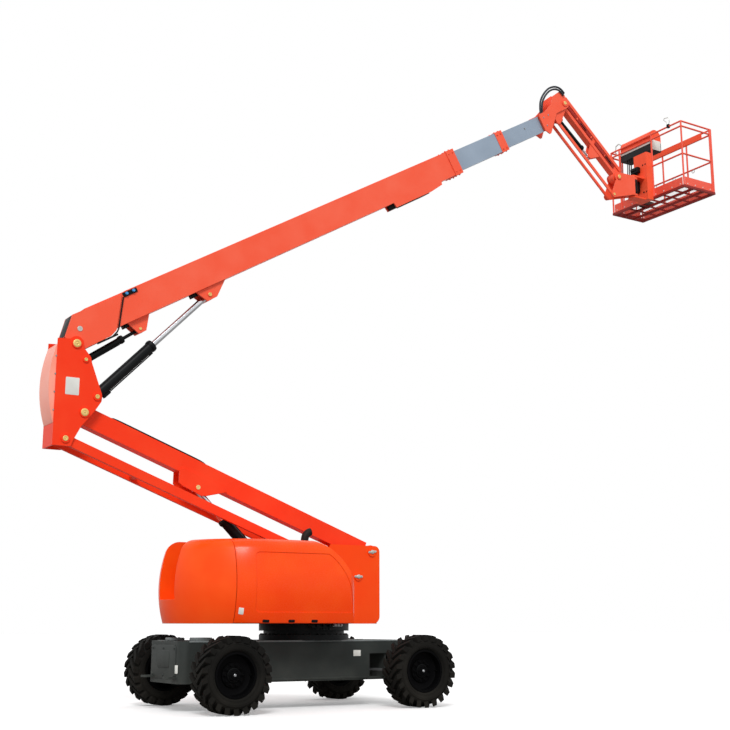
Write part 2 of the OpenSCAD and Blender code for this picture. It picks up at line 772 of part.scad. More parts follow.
module jib_casting() color(orange) from_middle() at(head_pin) difference() {
    union() {
        slabs(cheek_in, cheek_out) {
            circle(85);
            translate(jib_drop) circle(52);
            translate(jib_drop + [-70, 60]) circle(52);
            polygon([[85, 0], [-82, -22], jib_drop + [-121, 68], jib_drop + [-70, 8], jib_drop + [0, -52],
                jib_drop + [50, -14]]);
        }
        at(jib_drop) for (s = [0, 180]) rotate([0, 0, s]) bar_y(small_pin, link_in - 3, cheek_in + 1);
        at(jib_drop + [-70, 60]) bar_y(34, -cheek_in - 1, cheek_in + 1);
        slabs(jib_barrel_r + 4, jib_w / 2) {
            translate(jib_base) circle(44);
            translate(jib_drop + [-70, 60]) circle(44);
            polygon([jib_base + [0, 44], jib_base + [0, -44], jib_drop + [-70, 16], jib_drop + [-70, 104]]);
        }
    }
    bar_y(link_pin + run, -cheek_out - 1, cheek_out + 1);
    at(jib_base) bar_y(20, -60, 60);
}

module jib_arm() color(orange) from_middle() place(head_pin, -jib_deg) difference() {
    union() {
        translate([-30, 0, arm_up]) rotate([90, 0, 90]) linear_extrude(jib_l + 10) difference() {
            square([jib_w, jib_d], center = true);
            for (s = [-1, 1]) translate([s * jib_w / 2, 0]) square([36, jib_d - 110], center = true);
        }
        for (x = [0, jib_l]) translate([x, 0, 0]) bar_y(jib_d / 2 - 8, -jib_w / 2, jib_w / 2);
        slabs(28, 46) polygon([[830, arm_up + 10 - jib_d / 2], [1110, arm_up + 10 - jib_d / 2],
            [jib_lug.x + 40, jib_lug.y - 20], [jib_lug.x - 15, jib_lug.y - 38], [jib_lug.x - 45, jib_lug.y]]);
        at(jib_lug) bar_y(small_pin - 4, -46, 46);
    }
    bar_y(link_pin + run, -jib_w, jib_w);
    translate([jib_l, 0, 0]) bar_y(link_pin + run, -jib_w, jib_w);
}

module jib_link() color(orange) from_middle() place(head_pin + jib_drop, -jib_deg)
    slabs(link_in, link_out) difference() {
        union() {
            translate([0, -27]) square([jib_l, 54]);
            for (x = [0, jib_l]) translate([x, 0]) circle(40);
        }
        for (x = [0, jib_l]) translate([x, 0]) circle(small_pin + run);
    }

jib_foot = head_pin + jib_base;
jib_ram = norm(jib_foot - jib_rod_pin);
jib_ram_deg = slope(jib_foot - jib_rod_pin);
jib_rod_r = 20;
jib_barrel_r = 36;
jib_rod_l = 680;
jib_barrel_l = 640;

module jib_rod() color(steel) from_middle() place(jib_rod_pin, jib_ram_deg)
    ram_rod(jib_rod_r, jib_rod_l, 34, 24, small_pin - 4);
module jib_barrel() color(black) from_middle() place(jib_rod_pin, jib_ram_deg)
    ram_barrel(jib_barrel_r, jib_rod_r, jib_ram - jib_barrel_l, jib_ram, 36, 24, 16);

module jib_end() color(orange) from_middle() difference() {
    union() {
        at(jib_tip) {
            slabs(cheek_in, cheek_out) {
                circle(85);
                translate(jib_drop) circle(52);
                polygon([[0, 85], jib_drop + [-51, 10], jib_drop + [0, -52], [rotor_x - jib_tip.x - 60, -250],
                    [rotor_x - jib_tip.x - 60, 85]]);
            }
            plate_pin(link_pin, cheek_out, 50);
            at(jib_drop) for (s = [0, 180]) rotate([0, 0, s]) bar_y(small_pin, link_in - 3, cheek_in + 1);
        }
        translate([rotor_x - 130, -cheek_out, plat_z + 15]) cube([90, 2 * cheek_out, 335]);
        translate([rotor_x, 0, plat_z + 15]) cylinder(r = rotor_r, h = 335);
    }
    translate([rotor_x, 0, plat_z]) cylinder(r = 42 + run, h = 400);
}

// Platform

support_top = plat_z + 350 + side_gap;

module platform_support() color(orange) from_middle() {
    translate([rotor_x, 0, plat_z - 20]) cylinder(r = 42, h = 410);
    for (z = [plat_z - 20, support_top]) {
        translate([rotor_x, 0, z]) cylinder(r = rotor_r, h = 27);
        translate([rotor_x, -rotor_r, z]) cube([plat_x - rotor_x - 60, 2 * rotor_r, 27]);
    }
    translate([plat_x - 130, -150, plat_z - 20]) cube([130 - seat, 300, 860]);
}

toe_z = plat_z + 40;
low_y = -plat_l / 2;
high_y = plat_l / 2;
back_x = plat_x + rail_r;
front_rail_x = plat_x + plat_w - rail_r;
rail_z = [plat_z + plat_h - rail_r, plat_z + plat_h - 105, plat_z + plat_h * 0.5];

module platform_floor() color(orange) from_middle() translate([plat_x, 0, plat_z]) {
    linear_extrude(40) difference() {
        translate([0, low_y]) square([plat_w, plat_l]);
        translate([40, low_y + 40]) square([plat_w - 80, plat_l - 80]);
    }
    for (y = [low_y + floor_pitch:floor_pitch:high_y - 60]) translate([39, y - 6, 8])
        cube([plat_w - 78, 12, 30]);
    for (x = [plat_w / 3, plat_w * 2 / 3]) translate([x - 15, low_y + 39, 0]) cube([30, plat_l - 78, 38]);
}

module rail_y(x, z, y0, y1) {
    translate([x, 0, z]) bar_y(rail_r, y0, y1);
}

module post(x, y, top) {
    translate([x, y, toe_z]) cylinder(r = rail_r, h = top - toe_z);
}

// A long side: corner posts, rails between them and a toe board
module long_side(x, inward, posts) {
    for (y = [low_y + rail_r, high_y - rail_r]) {
        post(x, y, rail_z[0]);
        translate([x, y, rail_z[0]]) sphere(rail_r);
    }
    for (y = posts) post(x, y, rail_z[0]);
    for (z = rail_z) rail_y(x, z, low_y + rail_r, high_y - rail_r);
    translate([x - (inward > 0 ? 0 : 5), low_y + 2 * rail_r + 20, toe_z])
        cube([5, plat_l - 4 * rail_r - 40, toe_h]);
}

module rails_front() color(orange) from_middle() long_side(front_rail_x, -1, [-plat_l / 6, plat_l / 6]);

module front_board() color(orange) from_middle()
    translate([front_rail_x - rail_r - 6 - seat, low_y + 200, rail_z[1] - 11])
        cube([6, plat_l - 400, rail_z[0] - rail_z[1] + 22]);

module rails_back() color(orange) from_middle() long_side(back_x, 1, [box_y[0] - 30, box_y[1] + 20]);

module rails_right() color(orange) from_middle() {
    for (z = rail_z) translate([0, low_y + rail_r, z])
        bar_x(rail_r, back_x + rail_r + seat, front_rail_x - rail_r - seat);
    post(front_rail_x - 2 * rail_r - 2, low_y + rail_r, rail_z[0]);
    translate([back_x + rail_r + 15, low_y + rail_r, toe_z])
        cube([plat_w - 4 * rail_r - 30, 5, toe_h]);
}

gate_reach = 450;
latch_x = front_rail_x - gate_reach - 2 * rail_r - 12;
gate_z = [rail_z[0] - 2 * rail_r - 10, rail_z[2] + 2 * rail_r + 10];
ring_r = rail_r + 8;

// The left side's fixed part, up to the post that the gate shuts against
module rails_left() color(orange) from_middle() {
    for (z = rail_z) translate([0, high_y - rail_r, z]) bar_x(rail_r, back_x + rail_r + seat, latch_x);
    post(latch_x, high_y - rail_r, rail_z[0]);
    translate([latch_x, high_y - rail_r, rail_z[0]]) sphere(rail_r);
    translate([back_x + rail_r + 15, high_y - rail_r - 5, toe_z])
        cube([latch_x - back_x - rail_r - 15, 5, toe_h]);
}

// The gate hangs on the front left corner post and swings inwards
module gate() color(orange) from_middle() translate([front_rail_x, high_y - rail_r, 0]) difference() {
    union() {
        for (z = gate_z) {
            translate([0, 0, z - 22]) cylinder(r = ring_r, h = 44);
            translate([0, 0, z]) bar_x(rail_r - 3, -gate_reach, -rail_r);
        }
        translate([-gate_reach, 0, toe_z + 12]) cylinder(r = rail_r - 3, h = gate_z[0] - toe_z - 12);
        translate([-gate_reach, 0, gate_z[0]]) sphere(rail_r - 3);
        translate([-gate_reach, -2, toe_z + 12]) cube([gate_reach - 60, 5, toe_h - 12]);
        translate([-150, 0, toe_z + 12]) cylinder(r = rail_r - 5, h = gate_z[0] - toe_z - 12);
    }
    translate([0, 0, toe_z]) cylinder(r = rail_r + run, h = plat_h);
}

box_y = [-120, 620];
box_d = 250;
box_h = 160;
skirt_h = 100;

// Moves a piece of the console to its end on the platform's back rail
module console_at() {
    translate([plat_x + 2 * rail_r + seat, box_y[0], plat_z + plat_h - 110]) children();
}

module control_box() color(black) from_middle() console_at()
    translate([0, 0, -box_h]) cube([box_d, box_y[1] - box_y[0], box_h]);

module console_cover() color(orange) from_middle() console_at() translate([0, 0, seat]) {
    cube([box_d, box_y[1] - box_y[0], skirt_h]);
    translate([box_d / 2, 0, skirt_h]) intersection() {
        bar_y(box_d / 2, 0, box_y[1] - box_y[0]);
        translate([-box_d, -1, -1]) cube([2 * box_d, box_y[1] - box_y[0] + 2, box_d]);
    }
}

chassis_frame();
rear_hubs();
steer_axle();
slewing_ring();
knuckle_left();
knuckle_right();
tie_rod();
rim_rear_left();
rim_rear_right();
rim_front_left();
rim_front_right();
tyre_rear_left();
tyre_rear_right();
tyre_front_left();
tyre_front_right();
turntable_frame();
counterweight();
engine();
exhaust_pipe();
hood_left();
hood_right();
tower_upper_arm();
tower_lower_arm();
tower_rod();
tower_barrel();
upright_frame();
upright_cover();
boom_outer();
boom_middle();
middle_collar();
boom_inner();
boom_head();
lift_rod();
lift_barrel();
level_rod();
level_barrel();
jib_casting();
jib_arm();
jib_link();
jib_rod();
jib_barrel();
jib_end();
platform_support();
platform_floor();
rails_front();
front_board();
rails_back();
rails_right();
rails_left();
gate();
control_box();
console_cover();
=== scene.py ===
"""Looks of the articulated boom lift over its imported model: metres, +X to the front, +Z up."""
import json
import math

import bmesh
import bpy
from mathutils import Matrix, Vector


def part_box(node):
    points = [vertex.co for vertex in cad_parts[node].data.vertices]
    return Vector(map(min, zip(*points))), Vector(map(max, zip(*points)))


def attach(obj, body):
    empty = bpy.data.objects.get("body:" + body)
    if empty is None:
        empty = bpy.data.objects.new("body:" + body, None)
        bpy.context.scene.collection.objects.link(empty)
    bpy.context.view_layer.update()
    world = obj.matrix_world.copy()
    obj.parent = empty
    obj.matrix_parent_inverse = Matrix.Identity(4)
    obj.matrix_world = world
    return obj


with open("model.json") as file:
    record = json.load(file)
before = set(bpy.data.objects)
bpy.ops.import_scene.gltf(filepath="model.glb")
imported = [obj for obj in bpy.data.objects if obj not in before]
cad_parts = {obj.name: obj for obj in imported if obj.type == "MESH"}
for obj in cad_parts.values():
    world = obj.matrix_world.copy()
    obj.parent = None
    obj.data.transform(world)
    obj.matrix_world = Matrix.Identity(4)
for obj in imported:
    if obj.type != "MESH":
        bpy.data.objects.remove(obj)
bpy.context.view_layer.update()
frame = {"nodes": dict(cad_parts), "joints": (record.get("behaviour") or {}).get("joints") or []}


# Places and axes, taken from the frame

SIDES = {"left": 1, "right": -1}
HANDS = tuple(SIDES.values())
joints = {joint["name"]: joint for joint in frame["joints"]}


def pin(joint):
    """Place of a joint's pin in the model's frame."""
    return Vector(joints[joint]["pos_m"])


def corners(node, axes):
    """Low and high corner of a CAD node, in axes that run along the model's own."""
    return [axes.inverted() @ Vector(corner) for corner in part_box(node)]


def side_frame(point, along):
    """Axes of an arm seen from the side: X along it, Y to the machine's left."""
    x = Vector(along).normalized()
    y = Vector((0, 1, 0))
    return Matrix.Translation(point) @ Matrix((x, y, x.cross(y))).transposed().to_4x4()


def ram_frame(ram):
    """Axes of a cylinder, from its rod's pin towards the barrel's foot."""
    point = pin(ram + "_rod_pivot")
    along = Vector(joints[ram + "_barrel_slide"]["axis"])
    low, high = (Vector(corner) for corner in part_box(ram + "_barrel"))
    if along.dot((low + high) / 2 - point) < 0:
        along = -along
    return side_frame(point, along)


def facing(point, out, along=(1, 0, 0)):
    """Place on a surface: local Z points out of it, local X runs along it."""
    z = Vector(out).normalized()
    x = Vector(along) - z * z.dot(Vector(along))
    x.normalize()
    return Matrix.Translation(point) @ Matrix((x, z.cross(x), z)).transposed().to_4x4()


def shifted(place, x=0.0, y=0.0, z=0.0):
    """A place moved along its own axes."""
    return place @ Matrix.Translation((x, y, z))


def round_about(place, count, radius, height):
    """Places spaced evenly on a circle round the local Z of a place."""
    turns = [Matrix.Rotation(math.tau * i / count, 4, "Z") for i in range(count)]
    return [shifted(place @ turn, radius, 0, height) for turn in turns]


def evenly(start, end, count):
    """Numbers spaced evenly from start to end."""
    return [start + (end - start) * i / (count - 1) for i in range(count)]


wheel_middle = (pin("rear_left_wheel_spin") + pin("front_right_wheel_spin")) / 2
machine = Matrix.Translation((wheel_middle.x, 0, 0))
slew_ring = Matrix.Translation((pin("turntable_slew").x, 0, 0))
boom = side_frame(pin("boom_lift"), joints["boom_extend"]["axis"])
tower = side_frame(pin("tower_lift"), pin("upright_level") - pin("tower_lift"))
upright = Matrix.Translation(pin("upright_level"))
jib = side_frame(pin("jib_lift"), pin("jib_end_level") - pin("jib_lift"))
floor_low = Vector(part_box("platform_floor")[0])
platform = Matrix.Translation((floor_low.x, 0, floor_low.z))


def pin_in(axes, joint):
    """Place of a joint's pin in the axes of a sub-assembly."""
    return axes.inverted() @ pin(joint)


# Camera at the photograph's place

CAMERA_PLACE = (-7.547, -14.055, 1.013)
CAMERA_YAW = math.radians(32.02)
CAMERA_PITCH = math.radians(12.19)

camera_data = bpy.data.cameras.new("site_camera")
camera_data.sensor_width = 36
camera_data.lens = 58.66
camera_data.shift_x = -0.0063
camera_data.shift_y = 0.0051
camera_data.clip_end = 200
camera = bpy.data.objects.new("site_camera", camera_data)
bpy.context.collection.objects.link(camera)
sight = Vector((math.sin(CAMERA_YAW) * math.cos(CAMERA_PITCH),
                math.cos(CAMERA_YAW) * math.cos(CAMERA_PITCH), math.sin(CAMERA_PITCH)))
camera.location = machine @ Vector(CAMERA_PLACE)
camera.rotation_euler = sight.to_track_quat("-Z", "Y").to_euler()
bpy.context.scene.camera = camera


# Finishes

DUST_COLOUR = (150, 140, 122)
DUST_TOP = 1.0
CLOUD_SCALE = 2.6
GRAIN_DEPTH = 0.002


def shade(red, green, blue):
    """Linear colour of a finish given as it reads on a screen."""
    parts = [value / 255 for value in (red, green, blue)]
    return tuple(p / 12.92 if p <= 0.04045 else ((p + 0.055) / 1.055) ** 2.4 for p in parts) + (1,)


def fill(tree, node, inputs):
    """Sets each input of a shader node to a value, or links another node's output to it."""
    for socket, value in inputs.items():
        if isinstance(value, bpy.types.NodeSocket):
            tree.links.new(value, node.inputs[socket])
        else:
            node.inputs[socket].default_value = value


def add_node(tree, kind, inputs, **settings):
    """Adds a shader node with its settings and inputs."""
    node = tree.nodes.new("ShaderNode" + kind)
    for setting, value in settings.items():
        setattr(node, setting, value)
    fill(tree, node, inputs)
    return node


def clouded(tree, clouds, colour, patch):
    """Colour that drifts between two shades in soft clouds."""
    spread = add_node(tree, "MapRange", {"Value": clouds, "From Min": 0.38, "From Max": 0.72})
    shades = {"Factor": spread.outputs["Result"], "A": shade(*colour), "B": shade(*patch)}
    tint = add_node(tree, "Mix", shades, data_type="RGBA")
    return tint.outputs["Result"]


def dusted(tree, place, clouds, skin, dust):
    """Colour with patchy dust that thins out upwards from the ground."""
    height = add_node(tree, "SeparateXYZ", {"Vector": place})
    low = add_node(tree, "MapRange", {"Value": height.outputs["Z"], "From Min": 0.0, "From Max": DUST_TOP,
                                      "To Min": dust, "To Max": 0.0})
    patchy = add_node(tree, "Math", {0: low.outputs["Result"], 1: clouds}, operation="MULTIPLY")
    dusty = add_node(tree, "Mix", {"Factor": patchy.outputs["Value"], "A": skin, "B": shade(*DUST_COLOUR)},
                     data_type="RGBA")
    return dusty.outputs["Result"]


def finish(name, colour, patch, rough, metal=0.0, coat=0.0, glint=0.2, grain=90.0, relief=0.12, edge=0.004,
           dust=0.0):
    """A painted, cast or moulded finish: cloudy colour, uneven gloss, fine relief, dust low down."""
    look = bpy.data.materials.new(name)
    look.use_nodes = True
    tree = look.node_tree
    place = add_node(tree, "TexCoord", {}).outputs["Object"]
    clouds = add_node(tree, "TexNoise", {"Vector": place, "Scale": CLOUD_SCALE, "Detail": 6}).outputs["Fac"]
    speckle = add_node(tree, "TexNoise", {"Vector": place, "Scale": grain, "Detail": 3}).outputs["Fac"]
    skin = clouded(tree, clouds, colour, patch)
    if dust:
        skin = dusted(tree, place, clouds, skin, dust)
    gloss = add_node(tree, "MapRange", {"Value": speckle, "To Min": max(rough - 0.07, 0.03),
                                        "To Max": min(rough + 0.10, 1.0)})
    bump = add_node(tree, "Bump", {"Height": speckle, "Strength": relief, "Distance": GRAIN_DEPTH})
    if edge:
        softened = add_node(tree, "Bevel", {"Radius": edge}, samples=4)
        fill(tree, bump, {"Normal": softened.outputs["Normal"]})
    fill(tree, tree.nodes["Principled BSDF"], {
        "Base Color": skin, "Roughness": gloss.outputs["Result"], "Normal": bump.outputs["Normal"],
        "Metallic": metal, "Specular IOR Level": glint, "Coat Weight": coat, "Coat Roughness": 0.12,
    })
    return look


# Orange paints and mouldings
boom_paint = finish("boom_paint", (246, 90, 60), (248, 102, 74), 0.42, coat=0.05)
tower_paint = finish("tower_paint", (247, 56, 18), (249, 66, 28), 0.42, coat=0.03, glint=0.16)
turret_paint = finish("turret_paint", (250, 72, 8), (251, 80, 14), 0.40, coat=0.03, glint=0.14)
hood_moulding = finish("hood_moulding", (249, 68, 6), (251, 80, 14), 0.26, coat=0.08, glint=0.16, edge=0.008)
tail_paint = finish("tail_paint", (250, 74, 10), (252, 84, 18), 0.34, coat=0.05, glint=0.14, edge=0.008)
cover_moulding = finish("cover_moulding", (252, 150, 126), (254, 166, 145), 0.3, coat=0.15)
rail_paint = finish("rail_paint", (238, 90, 70), (244, 104, 84), 0.45, edge=0.0)
board_paint = finish("board_paint", (248, 84, 48), (250, 98, 62), 0.42)
floor_red = finish("floor_red", (138, 38, 34), (152, 50, 44), 0.5)
# Darker red: on the jib it is painted shade in the grooves; on the console it is the trim of the cover.
groove_red = finish("groove_red", (150, 34, 28), (166, 44, 36), 0.5, edge=0.0)

# Greys and blacks of the frame, wheels and engine
chassis_grey = finish("chassis_grey", (42, 47, 46), (52, 57, 56), 0.55, relief=0.2, dust=0.12)
edge_grey = finish("edge_grey", (112, 118, 118), (132, 137, 136), 0.5)
black_enamel = finish("black_enamel", (9, 11, 13), (16, 19, 21), 0.42, glint=0.14, dust=0.03)
rim_black = finish("rim_black", (3, 3, 4), (7, 7, 8), 0.6, glint=0.05)
engine_cast = finish("engine_cast", (78, 82, 84), (96, 99, 100), 0.6, relief=0.4)
exhaust_black = finish("exhaust_black", (16, 14, 14), (38, 28, 24), 0.6, relief=0.4)

# Bare and plated metal
telescope_tube = finish("telescope_tube", (142, 157, 174), (152, 167, 184), 0.36, coat=0.05)
chromed_rod = finish("chromed_rod", (214, 216, 220), (196, 199, 204), 0.14, metal=1.0, glint=0.5, relief=0.03)
zinc_plate = finish("zinc_plate", (226, 190, 112), (240, 212, 150), 0.36, metal=0.6, glint=0.5, relief=0.1)
keeper_zinc = finish("keeper_zinc", (188, 190, 184), (206, 206, 200), 0.36, metal=0.7, glint=0.5, edge=0.0)
bolt_steel = finish("bolt_steel", (170, 172, 174), (148, 150, 152), 0.4, metal=0.85, glint=0.5, edge=0.0)
mesh_steel = finish("mesh_steel", (150, 120, 112), (176, 150, 142), 0.45, metal=0.3, edge=0.0)

# Rubber and plastic
lug_rubber = finish("lug_rubber", (14, 14, 13), (24, 23, 21), 0.85, glint=0.12, grain=160, relief=0.35,
                    dust=0.05)
hose_rubber = finish("hose_rubber", (15, 15, 16), (26, 26, 27), 0.62, grain=260, relief=0.3, edge=0.0)
loop_rubber = finish("loop_rubber", (44, 48, 54), (58, 62, 68), 0.5, grain=260, relief=0.3, edge=0.0)
console_black = finish("console_black", (22, 23, 25), (33, 34, 36), 0.55, grain=300, relief=0.3)
blank_label = finish("blank_label", (228, 228, 222), (214, 214, 208), 0.4, edge=0.0)
blue_cap = finish("blue_cap", (66, 150, 214), (82, 166, 226), 0.35, edge=0.0)
red_knob = finish("red_knob", (176, 18, 16), (192, 26, 22), 0.3, edge=0.0)

NODE_FINISHES = (
    (boom_paint, ("boom_outer", "middle_collar", "boom_head")),
    (boom_paint, ("jib_casting", "jib_arm", "jib_link", "jib_end")),
    (tower_paint, ("upright_frame", "tower_upper_arm", "tower_lower_arm")),
    (turret_paint, ("turntable_frame",)),
    (tail_paint, ("counterweight",)),
    (hood_moulding, ("hood_left", "hood_right")),
    (cover_moulding, ("upright_cover",)),
    (board_paint, ("console_cover", "front_board", "platform_support")),
    (floor_red, ("platform_floor",)),
    (chassis_grey, ("chassis_frame",)),
    (black_enamel, ("rear_hubs", "steer_axle", "slewing_ring", "knuckle_left", "knuckle_right", "level_rod")),
    (engine_cast, ("engine",)),
    (exhaust_black, ("exhaust_pipe",)),
    (telescope_tube, ("boom_middle", "boom_inner")),
    (bolt_steel, ("tie_rod",)),
    (console_black, ("control_box",)),
)
finish_of = {node: look for look, names in NODE_FINISHES for node in names}


def node_finish(node):
    """Finish of a CAD node, by its own name or by the kind of piece that the name tells."""
    if node in finish_of:
        return finish_of[node]
    if node.startswith("tyre_"):
        return lug_rubber
    if node.startswith("rim_"):
        return rim_black
    if node.endswith("_rod"):
        return chromed_rod
    if node.endswith("_barrel"):
        return black_enamel
    return rail_paint


for node_name, node in frame["nodes"].items():
    node.data.materials.clear()
    node.data.materials.append(node_finish(node_name))


# Workshop: how the small pieces are made

SHARP_ANGLE = math.radians(35)
CURVE_STEPS = 24


def joined(shape, part):
    """Adds one part to the shape of a piece."""
    mesh = bpy.data.meshes.new("part")
    part.to_mesh(mesh)
    part.free()
    shape.from_mesh(mesh)
    bpy.data.meshes.remove(mesh)


def block(shape, place, low, high, edge):
    """Adds a block with softened edges between two corners."""
    part = bmesh.new()
    low, high = Vector(low), Vector(high)
    bmesh.ops.create_cube(part, size=1)
    bmesh.ops.scale(part, vec=high - low, verts=part.verts)
    bmesh.ops.translate(part, vec=(low + high) / 2, verts=part.verts)
    bmesh.ops.bevel(part, geom=part.edges[:], offset=edge, segments=2, profile=0.5, affect="EDGES",
                    material=-1)
    bmesh.ops.transform(part, matrix=place, verts=part.verts)
    joined(shape, part)


def bar(shape, place, start, end, radius, tip=None, sides=20):
    """Adds a round bar between two points, tapered where a tip radius is given."""
    start, end = place @ Vector(start), place @ Vector(end)
    turn = (end - start).to_track_quat("Z", "Y").to_matrix().to_4x4()
    bmesh.ops.create_cone(shape, cap_ends=True, segments=sides, radius1=radius,
                          radius2=radius if tip is None else tip, depth=(end - start).length,
                          matrix=Matrix.Translation((start + end) / 2) @ turn)


def bent_bar(shape, place, points, radius, sides):
    """Adds a bar that runs from point to point."""
    for start, end in zip(points, points[1:]):
        bar(shape, place, start, end, radius, sides=sides)


def turned(shape, place, profile, steps=32):
    """Adds a part turned on a lathe from (radius, height) points, round local Z."""
    part = bmesh.new()
    spots = [part.verts.new((radius, 0, height)) for radius, height in profile]
    line = [part.edges.new(pair) for pair in zip(spots, spots[1:])]
    bmesh.ops.spin(part, geom=spots + line, cent=(0, 0, 0), axis=(0, 0, 1), angle=math.tau, steps=steps,
                   use_merge=True)
    bmesh.ops.remove_doubles(part, verts=part.verts, dist=1e-6)
    bmesh.ops.recalc_face_normals(part, faces=part.faces)
    bmesh.ops.transform(part, matrix=place, verts=part.verts)
    joined(shape, part)


def ring(shape, place, outline, steps=48):
    """Adds a closed ring turned from the (radius, height) outline of its section."""
    turned(shape, place, outline + outline[:1], steps)


def plate(shape, place, width, height, thick, corner):
    """Adds a flat plate with round corners that stands on local Z = 0."""
    part = bmesh.new()
    bmesh.ops.create_grid(part, x_segments=1, y_segments=1, size=0.5)
    bmesh.ops.scale(part, vec=(width, height, 1), verts=part.verts)
    bmesh.ops.bevel(part, geom=part.verts[:], offset=corner, segments=5, profile=0.5, affect="VERTICES",
                    material=-1)
    raised = bmesh.ops.extrude_face_region(part, geom=part.faces[:])["geom"]
    top = [item for item in raised if isinstance(item, bmesh.types.BMVert)]
    bmesh.ops.translate(part, vec=(0, 0, thick), verts=top)
    bmesh.ops.recalc_face_normals(part, faces=part.faces)
    lip = [edge for edge in part.edges if all(vert in top for vert in edge.verts)]
    bmesh.ops.bevel(part, geom=lip, offset=thick * 0.3, segments=2, profile=0.5, affect="EDGES", material=-1)
    bmesh.ops.transform(part, matrix=place, verts=part.verts)
    joined(shape, part)


def bolt(shape, place, size):
    """Adds a hexagon bolt with its washer; size is the radius of the washer."""
    bmesh.ops.create_cone(shape, cap_ends=True, segments=16, radius1=size, radius2=size * 0.94,
                          depth=size * 0.3, matrix=shifted(place, z=size * 0.1))
    bmesh.ops.create_cone(shape, cap_ends=True, segments=6, radius1=size * 0.6, radius2=size * 0.54,
                          depth=size * 0.55, matrix=shifted(place, z=size * 0.45))


def pin_cap(shape, place, radius):
    """Adds the stepped end disc of a pin with its grease nipple."""
    turned(shape, place, [(0, -0.001), (radius, -0.001), (radius, 0.004), (radius * 0.92, 0.006),
                          (radius * 0.5, 0.006), (radius * 0.46, 0.004), (radius * 0.18, 0.004),
                          (radius * 0.15, 0.009), (0, 0.0095)], steps=28)


def piece(name, shape, body, look):
    """Turns a shape into a finished piece that rides on a body."""
    mesh = bpy.data.meshes.new(name)
    shape.to_mesh(mesh)
    shape.free()
    mesh.shade_smooth()
    mesh.set_sharp_from_angle(angle=SHARP_ANGLE)
    mesh.materials.append(look)
    made = bpy.data.objects.new(name, mesh)
    bpy.context.collection.objects.link(made)
    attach(made, body)


def smooth_run(points, count):
    """Points spaced along a smooth curve through the given ones."""
    points = [Vector(p) for p in points]
    ends = [2 * points[0] - points[1]] + points + [2 * points[-1] - points[-2]]
    fine = []
    for a, b, c, d in zip(ends, ends[1:], ends[2:], ends[3:]):
        for step in range(CURVE_STEPS):
            t = step / CURVE_STEPS
            fine.append(0.5 * (2 * b + (c - a) * t + (2 * a - 5 * b + 4 * c - d) * t * t
                               + (3 * b - a - 3 * c + d) * t * t * t))
    fine.append(points[-1])
    reach = [0.0]
    for a, b in zip(fine, fine[1:]):
        reach.append(reach[-1] + (b - a).length)
    run, at = [], 0
    for i in range(count):
        want = reach[-1] * i / (count - 1)
        while at < len(fine) - 2 and reach[at + 1] < want:
            at += 1
        span = reach[at + 1] - reach[at]
        run.append(fine[at].lerp(fine[at + 1], (want - reach[at]) / span if span else 0))
    return run


def hose(name, body, points, diameter, count, look):
    """A hose on one smooth curve."""
    run = smooth_run(points, count)
    curve = bpy.data.curves.new(name, "CURVE")
    curve.dimensions = "3D"
    curve.bevel_depth = diameter / 2
    curve.bevel_resolution = 3
    curve.use_fill_caps = True
    spline = curve.splines.new("POLY")
    spline.points.add(len(run) - 1)
    for spot, place in zip(spline.points, run):
        spot.co = (*place, 1)
    spline.use_smooth = True
    curve.materials.append(look)
    made = bpy.data.objects.new(name, curve)
    bpy.context.collection.objects.link(made)
    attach(made, body)


# Hoses, each along its own arm

LOOP_HOSE = 0.032
TOWER_HOSE = 0.022
CONSOLE_HOSE = 0.020
HOSE_LANES = {"left": 0.045, "middle": 0.0, "right": -0.045}
HEAD_LOOPS = {
    "outer": ((9.05, -0.045, 0.315), (9.10, -0.050, 0.42), (9.17, -0.060, 0.52), (9.28, -0.080, 0.60),
              (9.40, -0.105, 0.645), (9.50, -0.130, 0.640), (9.58, -0.144, 0.600), (9.635, -0.144, 0.535),
              (9.655, -0.144, 0.465)),
    "inner": ((9.095, -0.045, 0.315), (9.14, -0.050, 0.405), (9.20, -0.060, 0.49), (9.295, -0.080, 0.562),
              (9.40, -0.105, 0.603), (9.485, -0.130, 0.600), (9.553, -0.144, 0.565), (9.60, -0.144, 0.505),
              (9.617, -0.144, 0.44)),
}
TOWER_ROUTE = ((2.62, 0, -0.112), (2.72, 0, -0.132), (3.0, 0, -0.134), (3.4, 0, -0.134), (3.93, 0, -0.132),
               (4.03, 0, -0.112))
CONSOLE_ROUTE = ((0.07, 0.45, 0.932), (0.067, 0.45, 0.82), (0.048, 0.44, 0.68), (0.0, 0.415, 0.55),
                 (-0.06, 0.36, 0.445), (-0.12, 0.27, 0.385), (-0.158, 0.165, 0.395), (-0.168, 0.09, 0.475))


def routed(axes, route, lane=0.0):
    """Points of a hose's route in the model's frame, moved sideways into its lane."""
    return [axes @ (Vector(point) + Vector((0, lane, 0))) for point in route]


for loop, route in HEAD_LOOPS.items():
    hose("head_hose_" + loop, "boom_inner", routed(boom, route), LOOP_HOSE, count=30, look=loop_rubber)
for side, lane in HOSE_LANES.items():
    hose("tower_hose_" + side, "tower_upper", routed(tower, TOWER_ROUTE, lane), TOWER_HOSE, count=28,
         look=hose_rubber)
for side, lane in HOSE_LANES.items():
    hose("console_hose_" + side, "platform", routed(platform, CONSOLE_ROUTE, lane), CONSOLE_HOSE, count=28,
         look=hose_rubber)


# Wheels; heights are out from the wheel's middle

WALL_RIBS = ((0.292, 0.154), (0.303, 0.159), (0.352, 0.1635))


def wheel_nuts(hub):
    """Ten nuts on their studs."""
    nuts = bmesh.new()
    for spot in round_about(hub, count=10, radius=0.115, height=0.054):
        bolt(nuts, spot, size=0.026)
        bar(nuts, spot, (0, 0, 0.01), (0, 0, 0.03), radius=0.009, sides=10)
    return nuts


